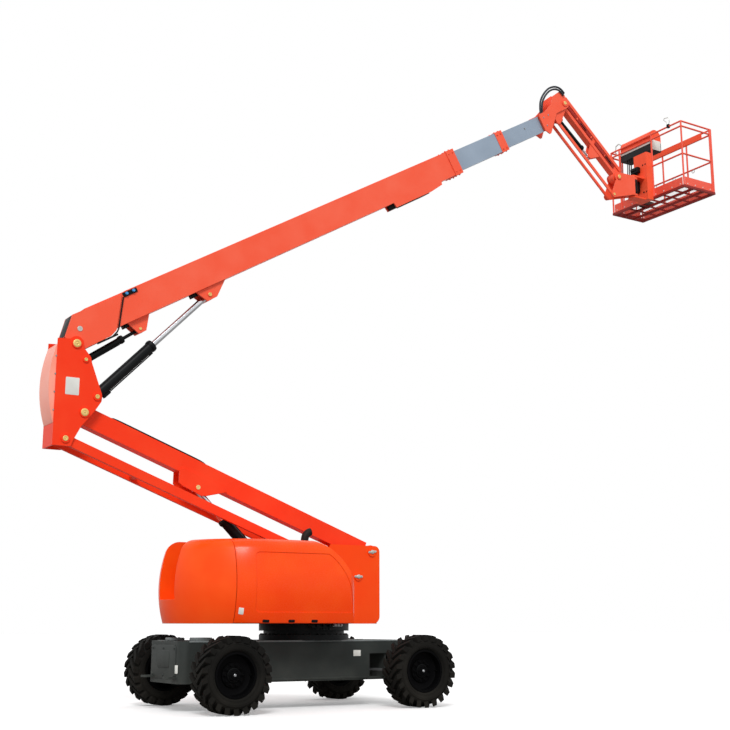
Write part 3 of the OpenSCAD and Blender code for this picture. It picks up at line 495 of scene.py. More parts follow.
def hub_cap(hub):
    """Stepped cap of the hub with its six bolts."""
    cap = bmesh.new()
    turned(cap, hub, [(0, 0.0765), (0.074, 0.0765), (0.074, 0.084), (0.068, 0.090), (0.046, 0.092),
                      (0.042, 0.100), (0.018, 0.103), (0, 0.103)])
    for spot in round_about(hub, count=6, radius=0.057, height=0.091):
        bolt(cap, spot, size=0.011)
    return cap


def hub_plug(hub):
    """Bright plug in the middle of the cap."""
    plug = bmesh.new()
    turned(plug, hub, [(0, 0.102), (0.017, 0.102), (0.017, 0.110), (0.012, 0.114), (0, 0.114)], steps=20)
    return plug


def tyre_ribs(hub):
    """Raised rings on both side walls of the tyre."""
    ribs = bmesh.new()
    for face in (1, -1):
        for radius, out in WALL_RIBS:
            ring(ribs, hub @ Matrix.Diagonal((1, 1, face, 1)),
                 [(radius - 0.006, out - 0.006), (radius - 0.003, out + 0.003), (radius + 0.003, out + 0.003),
                  (radius + 0.006, out - 0.006)], steps=72)
    bmesh.ops.recalc_face_normals(ribs, faces=ribs.faces)
    return ribs


def tyre_valve(hub):
    """Valve stem in the rim, with its cap."""
    valve = bmesh.new()
    bar(valve, hub, (0.222, 0, 0.036), (0.214, 0, 0.078), radius=0.007, sides=12)
    bar(valve, hub, (0.214, 0, 0.078), (0.211, 0, 0.094), radius=0.009, sides=12)
    return valve


def rim_dish(hub):
    """Pressed inner face of the rim, from its edge to the hub."""
    dish = bmesh.new()
    ring(dish, hub, [(0.236, 0.115), (0.232, 0.10), (0.226, 0.050), (0.200, 0.0375), (0.148, 0.0375),
                     (0.142, 0.056), (0.138, 0.056), (0.138, 0.030), (0.236, 0.030)], steps=64)
    return dish


WHEEL_PIECES = {
    "wheel_nuts_": (wheel_nuts, rim_black),
    "hub_cap_": (hub_cap, rim_black),
    "hub_plug_": (hub_plug, bolt_steel),
    "tyre_ribs_": (tyre_ribs, lug_rubber),
    "tyre_valve_": (tyre_valve, rim_black),
    "rim_dish_": (rim_dish, rim_black),
}

for wheel in ("rear_left", "rear_right", "front_left", "front_right"):
    centre = pin(wheel + "_wheel_spin")
    wheel_body = joints[wheel + "_wheel_spin"]["child"]
    wheel_hub = facing(centre, (0, math.copysign(1, centre.y), 0))
    for kind, (made_by, look) in WHEEL_PIECES.items():
        piece(kind + wheel, made_by(wheel_hub), wheel_body, look)


# Chassis

FRAME_ENDS = {"rear": (-1.73, -1), "front": (1.56, 1)}
FRAME_SIDE = corners("chassis_frame", machine)[1].y
FRAME_TOP = corners("chassis_frame", machine)[1].z
SINK = 0.002
COVER_UP = 0.585
COVER_THICK = 0.008
STEER_AHEAD = 0.11
STEER_UP = 0.50
STEER_HALF = 0.30
rear_axle = pin_in(machine, "rear_left_wheel_spin")
front_axle = pin_in(machine, "steer_left")


def end_cover(end):
    """Cover plate on one end of the frame, with a smaller plate on it and six bolts."""
    x, out = FRAME_ENDS[end]
    spot = machine @ facing((x, 0, COVER_UP), (out, 0, 0), (0, 1, 0))
    cover = bmesh.new()
    plate(cover, spot, width=0.74, height=0.40, thick=COVER_THICK, corner=0.05)
    plate(cover, shifted(spot, y=-0.03, z=COVER_THICK - SINK), width=0.36, height=0.20, thick=COVER_THICK,
          corner=0.03)
    piece(end + "_cover_plate", cover, "chassis", chassis_grey)
    screws = bmesh.new()
    for across in (-0.33, 0, 0.33):
        for up in (-0.16, 0.16):
            bolt(screws, shifted(spot, across, up, COVER_THICK), size=0.016)
    piece(end + "_cover_bolts", screws, "chassis", chassis_grey)


def side_strips(shape, rear, front, low, high, proud, edge):
    """Adds a strip to both sides of the frame, sunk into it a little."""
    for hand in HANDS:
        inner, outer = sorted((hand * (FRAME_SIDE - SINK), hand * (FRAME_SIDE + proud)))
        block(shape, machine, (rear, inner, low), (front, outer, high), edge)


for frame_end in FRAME_ENDS:
    end_cover(frame_end)

frame_lip = bmesh.new()
side_strips(frame_lip, rear=-1.62, front=1.45, low=0.814, high=0.834, proud=0.006, edge=0.002)
piece("frame_lip", frame_lip, "chassis", edge_grey)

side_ribs = bmesh.new()
side_strips(side_ribs, rear=-1.20, front=-1.17, low=0.36, high=0.81, proud=0.008, edge=0.003)
side_strips(side_ribs, rear=-0.88, front=0.90, low=0.345, high=0.372, proud=0.008, edge=0.003)
piece("frame_side_ribs", side_ribs, "chassis", chassis_grey)

side_label = machine @ facing((0.737, -FRAME_SIDE, 0.666), (0, -1, 0))
rear_label = machine @ facing((FRAME_ENDS["rear"][0], -0.40, 0.50), (-1, 0, 0), (0, 1, 0))
labels = bmesh.new()
plate(labels, side_label, width=0.110, height=0.075, thick=0.002, corner=0.008)
plate(labels, rear_label, width=0.07, height=0.10, thick=0.010, corner=0.008)
piece("chassis_labels", labels, "chassis", blank_label)

top_boxes = bmesh.new()
block(top_boxes, machine, (-1.50, -0.42, FRAME_TOP - 0.001), (-1.28, -0.22, 0.872), edge=0.008)
block(top_boxes, machine, (-1.60, 0.10, FRAME_TOP - 0.001), (-1.42, 0.30, 0.868), edge=0.008)
piece("frame_top_boxes", top_boxes, "chassis", edge_grey)

ring_bolts = bmesh.new()
for bolt_spot in round_about(slew_ring, count=36, radius=0.562, height=0.90):
    bolt(ring_bolts, bolt_spot, size=0.022)
piece("slewing_ring_bolts", ring_bolts, "chassis", black_enamel)

drive_motors = bmesh.new()
for hand in HANDS:
    motor = machine @ facing((rear_axle.x, hand * 0.525, rear_axle.z), (0, hand, 0))
    for bolt_spot in round_about(motor, count=12, radius=0.163, height=0):
        bolt(drive_motors, bolt_spot, size=0.018)
    block(drive_motors, machine, (-1.44, hand * 0.62 - 0.05, 0.565), (-1.26, hand * 0.62 + 0.11, 0.615),
          edge=0.008)
    ring(drive_motors, motor, [(0.141, 0.20), (0.152, 0.205), (0.152, 0.235), (0.141, 0.24)])
piece("drive_motor_fittings", drive_motors, "chassis", black_enamel)

axle_top = corners("steer_axle", machine)[1].z
kingpin_caps = bmesh.new()
for side in SIDES:
    kingpin = pin("steer_" + side)
    turned(kingpin_caps, Matrix.Translation((kingpin.x, kingpin.y, axle_top)),
           [(0, 0), (0.052, 0), (0.052, 0.006), (0.044, 0.010), (0.01, 0.010), (0.008, 0.018), (0, 0.018)])
piece("kingpin_caps", kingpin_caps, "chassis", zinc_plate)

steer_axes = shifted(machine, front_axle.x + STEER_AHEAD, 0, STEER_UP)
steer_ram = bmesh.new()
bar(steer_ram, steer_axes, (0, -STEER_HALF, 0), (0, STEER_HALF, 0), radius=0.036)
for y in (-STEER_HALF, STEER_HALF):
    bar(steer_ram, steer_axes, (0, y - 0.025, 0), (0, y + 0.025, 0), radius=0.043)
    block(steer_ram, steer_axes, (-0.05, y - 0.03, -0.06), (0.04, y + 0.03, -0.022), edge=0.004)
piece("steering_cylinder", steer_ram, "chassis", black_enamel)


# Turntable: latches and label on the hoods

BODY_HALF = 1.09
SIDE_ROUND = 1.5
BELLY = 1.48
TAIL_MIDDLE = -0.66
SKIN_SINK = 0.0006
LATCH_UP = 1.068


def body_side(x, z, hand):
    """Place on the side of the hoods, which is barrelled and runs round into the tail."""
    reach = BODY_HALF - SIDE_ROUND + math.sqrt(SIDE_ROUND ** 2 - (z - BELLY) ** 2) - SKIN_SINK
    behind = min(x - TAIL_MIDDLE, 0)
    across = math.sqrt(reach ** 2 - behind ** 2)
    rise = (z - BELLY) / SIDE_ROUND
    flat = math.sqrt(1 - rise ** 2) / reach
    return machine @ facing((x, hand * across, z), (behind * flat, hand * across * flat, rise))


def latch(shape, spot):
    """Adds a paddle latch: small escutcheon and its handle."""
    plate(shape, spot, width=0.085, height=0.034, thick=0.005, corner=0.01)
    block(shape, spot, (-0.022, -0.010, 0.004), (0.022, 0.010, 0.013), edge=0.003)


for side, hand in SIDES.items():
    latches = bmesh.new()
    for x in (-0.86, -0.52, -0.20):
        latch(latches, body_side(x, LATCH_UP, hand))
    piece("hood_latches_" + side, latches, "hood_" + side, black_enamel)

hood_label_face = body_side(-1.155, 1.185, SIDES["right"])
hood_label = bmesh.new()
plate(hood_label, hood_label_face, width=0.06, height=0.08, thick=0.003, corner=0.006)
piece("hood_label", hood_label, "hood_right", blank_label)


# Turntable: valves and ports under the edge of the deck

DECK_UNDER = corners("turntable_frame", machine)[0].z + 0.001
VALVE_UP = 1.012
PORT_UP = 1.020

valves = bmesh.new()
block(valves, machine, (-0.10, -0.80, 0.985), (0.20, -0.68, DECK_UNDER), edge=0.006)
for x in (-0.04, 0.05, 0.14):
    bar(valves, machine, (x, -0.795, VALVE_UP), (x, -0.835, VALVE_UP), radius=0.018, tip=0.014)
    bar(valves, machine, (x + 0.04, -0.74, 0.987), (x + 0.04, -0.74, 0.962), radius=0.016)
piece("deck_valves", valves, "turntable", black_enamel)

ports = bmesh.new()
block(ports, machine, (0.19, -0.775, 1.002), (0.34, -0.705, DECK_UNDER), edge=0.005)
for x in (0.22, 0.265, 0.31):
    bar(ports, machine, (x, -0.77, PORT_UP), (x, -0.825, PORT_UP), radius=0.012)
    bolt(ports, machine @ facing((x, -0.825, PORT_UP), (0, -1, 0)), size=0.016)
piece("deck_ports", ports, "turntable", bolt_steel)


# Turntable: engine, exhaust and tanks under the hoods

engine_low, engine_high = corners("engine", machine)
TANK_FOOT = engine_low.z + 0.001
LARGE_TANK_TOP = 1.70
SMALL_TANK_TOP = 1.50
FILLER_CAP = [(0, 0), (0.05, 0), (0.05, 0.03), (0.042, 0.04), (0, 0.04)]
TANK_PLUG = [(0, 0), (0.02, 0), (0.02, 0.012), (0, 0.014)]
ENGINE_CAN = [(0, 0), (0.10, 0), (0.10, 0.20), (0.09, 0.22), (0, 0.22)]

# Black plate and collar at the base of the exhaust pipe: partly a shroud, partly painted shadow where the
# pipe meets the hood.
shroud_and_shadow = bmesh.new()
block(shroud_and_shadow, machine, (-0.08, -0.57, 1.985), (0.055, -0.30, 1.997), edge=0.003)
ring(shroud_and_shadow, shifted(machine, -0.025, -0.44, 1.99),
     [(0.052, 0.0), (0.064, 0.0), (0.064, 0.04), (0.052, 0.045)], steps=32)
piece("exhaust_shroud_and_shadow", shroud_and_shadow, "turntable", exhaust_black)


def pulley(shape, y, z, radius):
    """Adds a grooved belt pulley to the rear face of the engine."""
    turned(shape, machine @ facing((engine_low.x, y, z), (-1, 0, 0), (0, 1, 0)),
           [(0, 0), (radius, 0), (radius, 0.012), (radius - 0.012, 0.02), (radius, 0.03), (radius, 0.042),
            (radius * 0.3, 0.042), (radius * 0.3, 0.05), (0, 0.05)])


engine_parts = bmesh.new()
block(engine_parts, machine, (-0.96, -0.84, engine_high.z), (-0.42, -0.60, engine_high.z + 0.10), edge=0.02)
for x in evenly(-1.02, -0.42, 7):
    block(engine_parts, machine, (x, engine_low.y - 0.012, 1.20), (x + 0.05, engine_low.y + 0.002, 1.62),
          edge=0.004)
pulley(engine_parts, y=-0.66, z=1.50, radius=0.12)
pulley(engine_parts, y=-0.80, z=1.28, radius=0.09)
pulley(engine_parts, y=-0.56, z=1.28, radius=0.07)
turned(engine_parts, machine @ facing((engine_high.x, -0.62, 1.62), (1, 0, 0), (0, 1, 0)), ENGINE_CAN)
piece("engine_parts", engine_parts, "turntable", engine_cast)

tanks = bmesh.new()
block(tanks, machine, (-1.06, 0.46, TANK_FOOT), (-0.58, 0.84, LARGE_TANK_TOP), edge=0.03)
turned(tanks, shifted(machine, -0.95, 0.62, LARGE_TANK_TOP), FILLER_CAP)
block(tanks, machine, (-0.48, 0.46, TANK_FOOT), (-0.12, 0.86, SMALL_TANK_TOP), edge=0.02)
for x in evenly(-0.40, -0.19, 4):
    turned(tanks, shifted(machine, x, 0.58, SMALL_TANK_TOP), TANK_PLUG, steps=16)
piece("fluid_tanks", tanks, "turntable", black_enamel)


# Pins: end discs and keeper bars on both sides of every plate

UPRIGHT_OUT = corners("upright_frame", machine)[1].y
HEAD_OUT = 0.141
TIP_OUT = corners("jib_end", platform)[1].y
TOWER_FOOT = Vector((0.2, 0, 1.20))
LIFT_FOOT = Vector((0.289, 0, -0.633))
LEVEL_FOOT = Vector((0.123, 0, -0.188))
JIB_DROP = Vector((-0.12, 0, -0.335))
tower_drop = pin("tower_link") - pin("tower_lift")
upright_pin = pin_in(machine, "upright_level")
boom_pin = pin_in(machine, "boom_lift")
tip_pin = pin_in(machine, "jib_end_level")


def pin_caps(name, body, axes, spot, out, radius):
    """The two end discs of a pin, given its middle and how far out its ends are."""
    caps = bmesh.new()
    for hand in HANDS:
        pin_cap(caps, axes @ facing((spot.x, hand * out, spot.z), (0, hand, 0)), radius)
    piece(name + "_caps", caps, body, zinc_plate)


def keeper(shape, face):
    """Adds a keeper bar: plate over the pin's end, boss and two bolts."""
    plate(shape, face, width=0.13, height=0.032, thick=0.008, corner=0.015)
    turned(shape, face, [(0, 0.002), (0.027, 0.002), (0.027, 0.011), (0.022, 0.014), (0, 0.014)])
    for along in (-0.046, 0.046):
        bolt(shape, shifted(face, along, 0, 0.008), size=0.011)


pin_caps("tower_foot_pin", "turntable", machine, TOWER_FOOT, out=UPRIGHT_OUT, radius=0.034)
pin_caps("upright_pin", "upright", machine, upright_pin, out=UPRIGHT_OUT, radius=0.048)
pin_caps("upright_link_pin", "upright", machine, upright_pin + tower_drop, out=UPRIGHT_OUT, radius=0.034)
pin_caps("boom_pin", "upright", machine, boom_pin, out=UPRIGHT_OUT, radius=0.050)
pin_caps("lift_foot_pin", "upright", machine, boom_pin + LIFT_FOOT, out=UPRIGHT_OUT, radius=0.028)
pin_caps("level_foot_pin", "upright", machine, boom_pin + LEVEL_FOOT, out=UPRIGHT_OUT, radius=0.022)
pin_caps("head_pin", "boom_inner", machine, pin_in(machine, "jib_lift"), out=HEAD_OUT, radius=0.030)
pin_caps("jib_tip_pin", "jib_end", machine, tip_pin, out=TIP_OUT, radius=0.034)
pin_caps("jib_tip_link_pin", "jib_end", machine, tip_pin + JIB_DROP, out=0.103, radius=0.024)
pin_caps("lift_rod_pin", "boom_outer", boom, pin_in(boom, "lift_rod_pivot"), out=0.104, radius=0.026)
pin_caps("level_rod_pin", "boom_outer", boom, pin_in(boom, "level_rod_pivot"), out=0.080, radius=0.020)
pin_caps("tower_rod_pin", "tower_upper", tower, pin_in(tower, "tower_rod_pivot"), out=0.1005, radius=0.030)

for pin_name, joint, lean in (("turret_pin", "tower_lift", 0.12), ("turret_link", "tower_link", 0.0)):
    keepers = bmesh.new()
    for hand in HANDS:
        outside = pin_in(machine, joint) + Vector((0, hand * UPRIGHT_OUT, 0))
        keeper(keepers, machine @ facing(outside, (0, hand, 0), (1, 0, lean)))
    piece(pin_name + "_keepers", keepers, "turntable", keeper_zinc)


# Upright

cover_screws = bmesh.new()
for z in (0.0, 0.22, 0.44, 0.66):
    for hand in HANDS:
        bolt(cover_screws, upright @ facing((-0.378, hand * 0.186, z), (0, hand, 0)), size=0.012)
piece("cover_screws", cover_screws, "upright", bolt_steel)

label_face = upright @ facing((-0.167, -0.195, 0.308), (0, -1, 0))
upright_label = bmesh.new()
plate(upright_label, label_face, width=0.170, height=0.215, thick=0.002, corner=0.012)
piece("upright_label", upright_label, "upright", blank_label)


# Boom: collars

def collar_bolts(stations, half, levels, side_size, lanes, top, under, flat_size):
    """Bolts on the sides, top and underside of a telescope collar."""
    bolts = bmesh.new()
    for x in stations:
        for hand in HANDS:
            for z in levels:
                bolt(bolts, boom @ facing((x, hand * half, z), (0, hand, 0)), side_size)
        for y in lanes:
            bolt(bolts, boom @ facing((x, y, top), (0, 0, 1)), flat_size)
            bolt(bolts, boom @ facing((x, y, under), (0, 0, -1)), flat_size)
    return bolts


outer_bolts = collar_bolts((6.78, 6.86), half=0.142, levels=(0.02, 0.31), side_size=0.014,
                           lanes=(-0.08, 0.08), top=0.367, under=-0.037, flat_size=0.020)
piece("outer_collar_bolts", outer_bolts, "boom_outer", boom_paint)
middle_bolts = collar_bolts((7.905, 7.985), half=0.106, levels=(0.045, 0.285), side_size=0.018,
                            lanes=(-0.06, 0.06), top=0.333, under=-0.003, flat_size=0.018)
piece("middle_collar_bolts", middle_bolts, "boom_middle", boom_paint)


# Boom: base, rest pad, cable cover and head

EDGE_LINE = ((0.850, 0.290), (0.787, 0.205), (0.702, 0.090), (0.602, -0.046), (0.568, -0.072),
             (0.482, -0.104), (0.312, -0.104))
PORT_CAP = [(0, 0), (0.020, 0), (0.020, 0.018), (0.016, 0.024), (0.006, 0.024), (0, 0.022)]
BASE_BLOCKS = {
    "plate under the ports": ((0.86, -0.142, 0.285), (1.07, -0.118, 0.345), 0.004),
    "strip on the lower edge": ((0.26, -0.151, -0.115), (0.56, -0.127, -0.092), 0.003),
    "block by the lift lugs": ((1.78, -0.06, -0.075), (1.86, 0.06, -0.025), 0.006),
    "block by the level lugs": ((0.72, -0.05, -0.070), (0.79, 0.05, -0.025), 0.006),
}

base_trim = bmesh.new()
for low, high, edge in BASE_BLOCKS.values():
    block(base_trim, boom, low, high, edge)
bent_bar(base_trim, boom, [(x, -0.139, z) for x, z in EDGE_LINE], radius=0.010, sides=12)
# The black plate on the sloped rear face of the base is painted shade, standing in for the shaded open rear
# end of the boom.
slope = boom @ facing((0.0325, 0, 0.2405), (-0.209, 0, 0.215), (0.215, 0, 0.209))
plate(base_trim, slope, width=0.285, height=0.230, thick=0.004, corner=0.010)
piece("boom_base_trim", base_trim, "boom_outer", black_enamel)

fittings = bmesh.new()
for x in (0.912, 1.015):
    turned(fittings, boom @ facing((x, -0.142, 0.318), (0, -1, 0)), PORT_CAP, steps=20)
piece("boom_base_fittings", fittings, "boom_outer", blue_cap)

base_bolts = bmesh.new()
for hand in HANDS:
    pin_cap(base_bolts, boom @ facing((0.142, hand * 0.146, 0.150), (0, hand, 0)), radius=0.034)
piece("boom_base_bolts", base_bolts, "boom_outer", keeper_zinc)

rest_pad = bmesh.new()
block(rest_pad, boom, (5.445, -0.108, -0.100), (5.60, 0.108, -0.024), edge=0.006)
block(rest_pad, boom, (5.60, -0.100, -0.112), (6.14, 0.100, -0.102), edge=0.004)
piece("boom_rest_pad", rest_pad, "boom_outer", black_enamel)

cable_cover = bmesh.new()
block(cable_cover, boom, (0.95, -0.035, 0.355), (6.70, 0.035, 0.366), edge=0.003)
piece("boom_top_cable_cover", cable_cover, "boom_outer", boom_paint)

head_bolts = bmesh.new()
for hand in HANDS:
    bolt(head_bolts, boom @ facing((8.55, hand * 0.075, 0.202), (0, hand, 0)), size=0.016)
    for x, z in ((9.00, 0.10), (9.00, 0.24), (9.12, 0.25)):
        bolt(head_bolts, boom @ facing((x, hand * 0.127, z), (0, hand, 0)), size=0.014)
piece("boom_head_bolts", head_bolts, "boom_inner", bolt_steel)


# Cylinders: gland nuts, ports and hard lines

RAMS = {
    "tower": {"shell": 0.066, "rod": 0.038, "barrel": 1.650, "pins": 2.207},
    "lift": {"shell": 0.068, "rod": 0.040, "barrel": 1.090, "pins": 2.150},
    "level": {"shell": 0.042, "rod": 0.022, "barrel": 0.640, "pins": 0.8886},
    "jib": {"shell": 0.036, "rod": 0.020, "barrel": 0.640, "pins": 0.8078},
}
LARGE_RAMS = ("tower", "lift")


def glands(shape, along, shell, rod, start):
    """Adds the collar at a barrel's open end and the gland nut round its rod."""
    ring(shape, along, [(shell + 0.0085, start + 0.012), (shell + 0.012, start + 0.016),
                        (shell + 0.012, start + 0.040), (shell + 0.0085, start + 0.044)], steps=40)
    ring(shape, along, [(rod + 0.0015, start - 0.010), (rod + 0.010, start - 0.010),
                        (rod + 0.014, start - 0.001), (rod + 0.014, start + 0.004),
                        (rod + 0.0015, start + 0.004)], steps=40)


def large_ports(shape, axes, shell, start, foot):
    """Adds a valve block, a port and the hard line between them."""
    seat = shell - 0.006
    line = shell + 0.010
    block(shape, axes, (foot - 0.24, -0.03, seat), (foot - 0.13, 0.03, shell + 0.028), edge=0.005)
    block(shape, axes, (start + 0.07, -0.018, seat), (start + 0.12, 0.018, shell + 0.016), edge=0.004)
    bar(shape, axes, (start + 0.10, 0, line), (foot - 0.16, 0, line), radius=0.008, sides=12)


def small_ports(shape, axes, shell, start, foot):
    """Adds one port with its hard line."""
    seat = shell - 0.006
    line = shell + 0.004
    block(shape, axes, (foot - 0.13, -0.022, seat), (foot - 0.07, 0.022, shell + 0.018), edge=0.004)
    bar(shape, axes, (start + 0.07, 0, line), (foot - 0.09, 0, line), radius=0.005, sides=12)


for ram, size in RAMS.items():
    ram_axes = ram_frame(ram)
    ram_along = ram_axes @ facing((0, 0, 0), (1, 0, 0), (0, 1, 0))
    barrel_start = size["pins"] - size["barrel"]
    ram_parts = bmesh.new()
    glands(ram_parts, ram_along, size["shell"], size["rod"], barrel_start)
    add_ports = large_ports if ram in LARGE_RAMS else small_ports
    add_ports(ram_parts, ram_axes, size["shell"], barrel_start, size["pins"])
    piece(ram + "_cylinder_fittings", ram_parts, ram + "_barrel", black_enamel)


# Jib

ARM_UP = 0.09

clips = bmesh.new()
for x in (0.35, 0.75, 1.15):
    block(clips, jib, (x, -0.060, ARM_UP - 0.02), (x + 0.03, 0.060, ARM_UP + 0.02), edge=0.004)
piece("jib_line_clips", clips, "jib_arm", boom_paint)

# Dark red strips along the sides of the jib arm are painted shade in its grooves.
groove_shade = bmesh.new()
for hand in HANDS:
    for start, end in ((0.03, 0.80), (0.88, 1.42)):
        block(groove_shade, jib, (start, hand * 0.052 - 0.0035, ARM_UP - 0.028),
              (end, hand * 0.052 + 0.0035, ARM_UP + 0.028), edge=0.002)
piece("jib_groove_shade", groove_shade, "jib_arm", groove_red)

jib_lines = bmesh.new()
for hand in HANDS:
    for start, end in ((0.46, 0.62), (1.16, 1.34)):
        bar(jib_lines, jib, (start, hand * 0.0555, ARM_UP), (end, hand * 0.0555, ARM_UP), radius=0.011,
            sides=12)
piece("jib_lines", jib_lines, "jib_arm", hose_rubber)

rotator = bmesh.new()
ring(rotator, Matrix.Translation((pin("platform_turn").x, 0, floor_low.z)),
     [(0.0852, 0.05), (0.0885, 0.055), (0.0885, 0.12), (0.0865, 0.125), (0.0865, 0.235), (0.0885, 0.24),
      (0.0885, 0.305), (0.0852, 0.31)])
piece("rotator_sleeve", rotator, "jib_end", black_enamel)


# Platform: floor and toe boards

TOE_UP = 0.075

floor_mesh = bmesh.new()
for y in evenly(-0.82, 0.82, 40):
    bar(floor_mesh, platform, (0.03, y, 0.036), (0.72, y, 0.036), radius=0.0012, sides=6)
for x in evenly(0.045, 0.705, 16):
    bar(floor_mesh, platform, (x, -0.83, 0.0375), (x, 0.83, 0.0375), radius=0.0012, sides=6)
piece("floor_mesh", floor_mesh, "platform", mesh_steel)

toe_screws = bmesh.new()
for y in evenly(-0.76, 0.76, 9):
    bolt(toe_screws, platform @ facing((0.015, y, TOE_UP), (-1, 0, 0), (0, 1, 0)), size=0.011)
    bolt(toe_screws, platform @ facing((0.735, y, TOE_UP), (1, 0, 0), (0, 1, 0)), size=0.011)
for x in evenly(0.10, 0.64, 4):
    bolt(toe_screws, platform @ facing((x, -0.845, TOE_UP), (0, -1, 0)), size=0.011)
piece("toe_board_screws", toe_screws, "platform", blank_label)


# Platform: console

COVER_MIDDLE = 1.19
PANEL_THICK = 0.006
LEVER = [(0, 0), (0.038, 0), (0.034, 0.010), (0.024, 0.016), (0.020, 0.026), (0.010, 0.032), (0.009, 0.075),
         (0.016, 0.082), (0.018, 0.105), (0.012, 0.118), (0, 0.120)]
SWITCH = [(0, 0), (0.011, 0), (0.011, 0.004), (0.005, 0.005), (0.004, 0.020), (0, 0.021)]
STOP_KNOB = [(0, 0), (0.014, 0), (0.014, 0.014), (0.024, 0.018), (0.024, 0.028), (0.018, 0.034), (0, 0.036)]
TRIM_RING = [(0.1245, 0.0), (0.1275, 0.002), (0.1275, 0.008), (0.1245, 0.010)]
GRIP = ((0.07, 0.60, 1.25), (0.05, 0.68, 1.315), (0.045, 0.745, 1.29), (0.045, 0.765, 1.18),
        (0.03, 0.70, 1.10))
box_low, box_high = corners("control_box", platform)
box_middle = (box_low + box_high) / 2
panel_face = platform @ facing((box_high.x, box_middle.y, box_middle.z), (1, 0, 0), (0, 1, 0))

panel = bmesh.new()
plate(panel, panel_face, width=0.68, height=0.13, thick=PANEL_THICK, corner=0.02)
for across in (-0.24, 0.24):
    turned(panel, shifted(panel_face, across, 0, PANEL_THICK), LEVER, steps=28)
for across in evenly(-0.125, 0.125, 6):
    turned(panel, shifted(panel_face, across, -0.035, PANEL_THICK), SWITCH, steps=16)
piece("console_panel", panel, "platform", console_black)

stop_knob = bmesh.new()
turned(stop_knob, shifted(panel_face, 0, 0.03, PANEL_THICK), STOP_KNOB, steps=28)
piece("stop_knob", stop_knob, "platform", red_knob)

end_face = platform @ facing((box_middle.x + 0.01, box_low.y, 1.03), (0, -1, 0))
end_plate = bmesh.new()
plate(end_plate, end_face, width=0.20, height=0.18, thick=0.004, corner=0.02)
block(end_plate, platform, (box_low.x - 0.006, box_low.y + 0.01, 1.045),
      (box_low.x + 0.004, box_high.y - 0.01, 1.082), edge=0.002)
piece("console_end_plate", end_plate, "platform", blank_label)


def half_rings(ends):
    """Trim of the half-round cover: rings cut off at its middle and closed there."""
    trim = bmesh.new()
    for y in ends:
        ring(trim, platform @ facing((box_middle.x, y, COVER_MIDDLE), (0, 1, 0)), TRIM_RING, steps=64)
    whole = trim.verts[:] + trim.edges[:] + trim.faces[:]
    cut = bmesh.ops.bisect_plane(trim, geom=whole, plane_co=platform @ Vector((0, 0, COVER_MIDDLE)),
                                 plane_no=(0, 0, -1), clear_outer=True)
    open_edges = [item for item in cut["geom_cut"] if isinstance(item, bmesh.types.BMEdge)]
    bmesh.ops.edgeloop_fill(trim, edges=open_edges)
    bmesh.ops.recalc_face_normals(trim, faces=trim.faces)
    return trim


cover_trim = half_rings((box_low.y + 0.002, box_high.y - 0.012))
piece("console_cover_trim", cover_trim, "platform", groove_red)

grip = bmesh.new()
bent_bar(grip, platform, GRIP, radius=0.009, sides=14)
piece("console_grip", grip, "platform", keeper_zinc)


# Platform: fittings on the rails and floor

HOOK = ((-0.57, 1.20), (-0.595, 1.28), (-0.57, 1.35), (-0.48, 1.365), (-0.465, 1.335), (-0.535, 1.27),
        (-0.555, 1.20))
HARNESS_RADIUS = 0.028
HARNESS_UP = 0.545
PEDAL_BLOCKS = {
    "base": ((0.16, 0.20, 0.038), (0.36, 0.36, 0.062), 0.006),
    "treadle": ((0.17, 0.21, 0.062), (0.33, 0.35, 0.085), 0.010),
    "hood": ((0.16, 0.19, 0.10), (0.36, 0.37, 0.112), 0.005),
    "right cheek": ((0.16, 0.19, 0.05), (0.36, 0.20, 0.11), 0.003),
    "left cheek": ((0.16, 0.36, 0.05), (0.36, 0.37, 0.11), 0.003),
}

hook = bmesh.new()
bent_bar(hook, platform, [(0.015, y, z) for y, z in HOOK], radius=0.006, sides=12)
piece("rail_hook", hook, "platform", keeper_zinc)
clamp = bmesh.new()
block(clamp, platform, (-0.008, -0.585, 1.160), (0.038, -0.540, 1.225), edge=0.005)
piece("rail_hook_clamp", clamp, "platform", black_enamel)

harness_rings = bmesh.new()
turns = evenly(0, math.tau, 15)
for y in (-0.45, 0.0, 0.45):
    circle = [(0.690, y + HARNESS_RADIUS * math.cos(turn), HARNESS_UP + HARNESS_RADIUS * math.sin(turn))
              for turn in turns]
    bent_bar(harness_rings, platform, circle, radius=0.005, sides=8)
piece("harness_rings", harness_rings, "platform", bolt_steel)

pedal = bmesh.new()
for low, high, edge in PEDAL_BLOCKS.values():
    block(pedal, platform, low, high, edge)
piece("foot_pedal", pedal, "platform", console_black)

gate_catch = bmesh.new()
block(gate_catch, platform, (0.231, 0.835, 1.06), (0.268, 0.855, 1.10), edge=0.004)
piece("gate_catch", gate_catch, "platform", black_enamel)


# Platform: levelling valves and bolts on the support post

valve_block = bmesh.new()
block(valve_block, platform, (-0.205, 0.0, 0.50), (-0.128, 0.17, 0.60), edge=0.008)
for y in (0.045, 0.09, 0.135):
    bar(valve_block, platform, (-0.168, y, 0.50), (-0.168, y, 0.47), radius=0.014)
    bar(valve_block, platform, (-0.205, y, 0.55), (-0.225, y, 0.55), radius=0.016, tip=0.012)
block(valve_block, platform, (-0.190, 0.02, 0.14), (-0.128, 0.13, 0.34), edge=0.012)
piece("level_valve_block", valve_block, "platform", black_enamel)

support_bolts = bmesh.new()
for z in (0.12, 0.62):
    for y in (-0.12, -0.06):
        bolt(support_bolts, platform @ facing((-0.13, y, z), (-1, 0, 0), (0, 1, 0)), size=0.014)
piece("support_bolts", support_bolts, "platform", black_enamel)


# Studio: pale floor, brighter to the camera than the light that it throws back

FLOOR_GLOW = 0.24
FLOOR_BOUNCE = (0.30, 0.29, 0.28, 1)
FLOOR_SEEN = (0.82, 0.82, 0.82, 1)
WHITE = (1, 1, 1, 1)

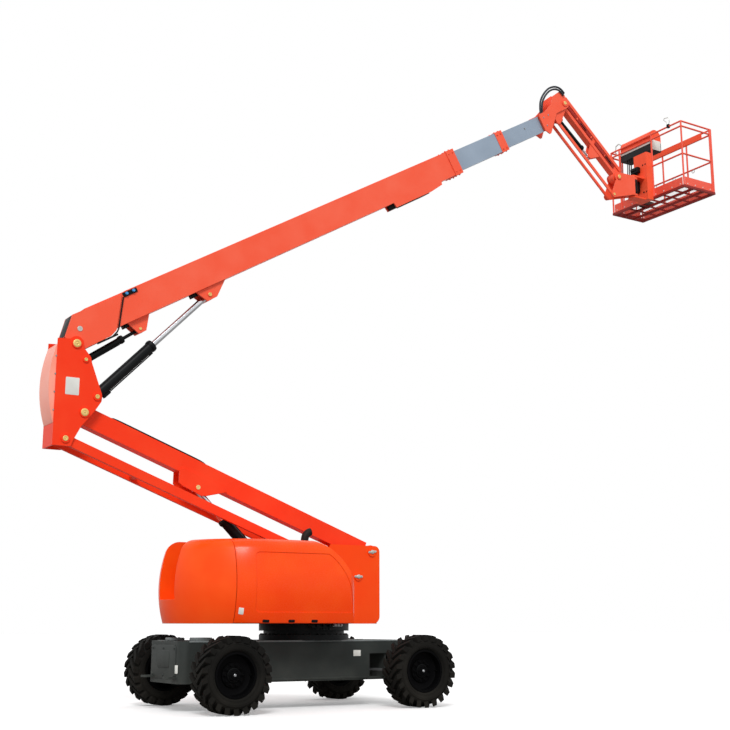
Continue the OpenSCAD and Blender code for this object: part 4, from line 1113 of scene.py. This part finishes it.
ground = bmesh.new()
bmesh.ops.create_grid(ground, x_segments=1, y_segments=1, size=120)
bmesh.ops.translate(ground, vec=(0, 0, -0.002), verts=ground.verts)
ground_mesh = bpy.data.meshes.new("studio_floor")
ground.to_mesh(ground_mesh)
ground.free()
studio_floor = bpy.data.objects.new("studio_floor", ground_mesh)
bpy.context.collection.objects.link(studio_floor)
floor_look = bpy.data.materials.new("studio_floor")
floor_look.use_nodes = True
floor_tree = floor_look.node_tree
seen = add_node(floor_tree, "LightPath", {}).outputs["Is Camera Ray"]
glow = add_node(floor_tree, "Math", {0: seen, 1: FLOOR_GLOW}, operation="MULTIPLY")
bounce = add_node(floor_tree, "Mix", {"Factor": seen, "A": FLOOR_BOUNCE, "B": FLOOR_SEEN}, data_type="RGBA")
fill(floor_tree, floor_tree.nodes["Principled BSDF"], {
    "Base Color": bounce.outputs["Result"], "Roughness": 0.9, "Emission Color": WHITE,
    "Emission Strength": glow.outputs["Value"],
})
studio_floor.data.materials.append(floor_look)


# Studio: white surroundings, dimmer as a light than as a background, and one soft sun

SKY_LIGHT = 0.78

world = bpy.data.worlds.new("studio")
bpy.context.scene.world = world
world.use_nodes = True
sky_tree = world.node_tree
rays = add_node(sky_tree, "LightPath", {}).outputs
direct = add_node(sky_tree, "Math", {0: rays["Is Camera Ray"], 1: rays["Is Glossy Ray"]}, operation="MAXIMUM")
shown = add_node(sky_tree, "Math", {0: direct.outputs["Value"], 1: rays["Is Transmission Ray"]},
                 operation="MAXIMUM")
level = add_node(sky_tree, "MapRange", {"Value": shown.outputs["Value"], "To Min": SKY_LIGHT, "To Max": 1.0})
fill(sky_tree, sky_tree.nodes["Background"], {"Color": WHITE, "Strength": level.outputs["Result"]})

key = bpy.data.lights.new("key_light", "SUN")
key.energy = 1.9
key.angle = math.radians(18)
key_light = bpy.data.objects.new("key_light", key)
key_light.rotation_euler = Vector((0.45, 0.75, -0.8)).to_track_quat("-Z", "Y").to_euler()
bpy.context.collection.objects.link(key_light)

bpy.context.scene.view_settings.view_transform = "Standard"
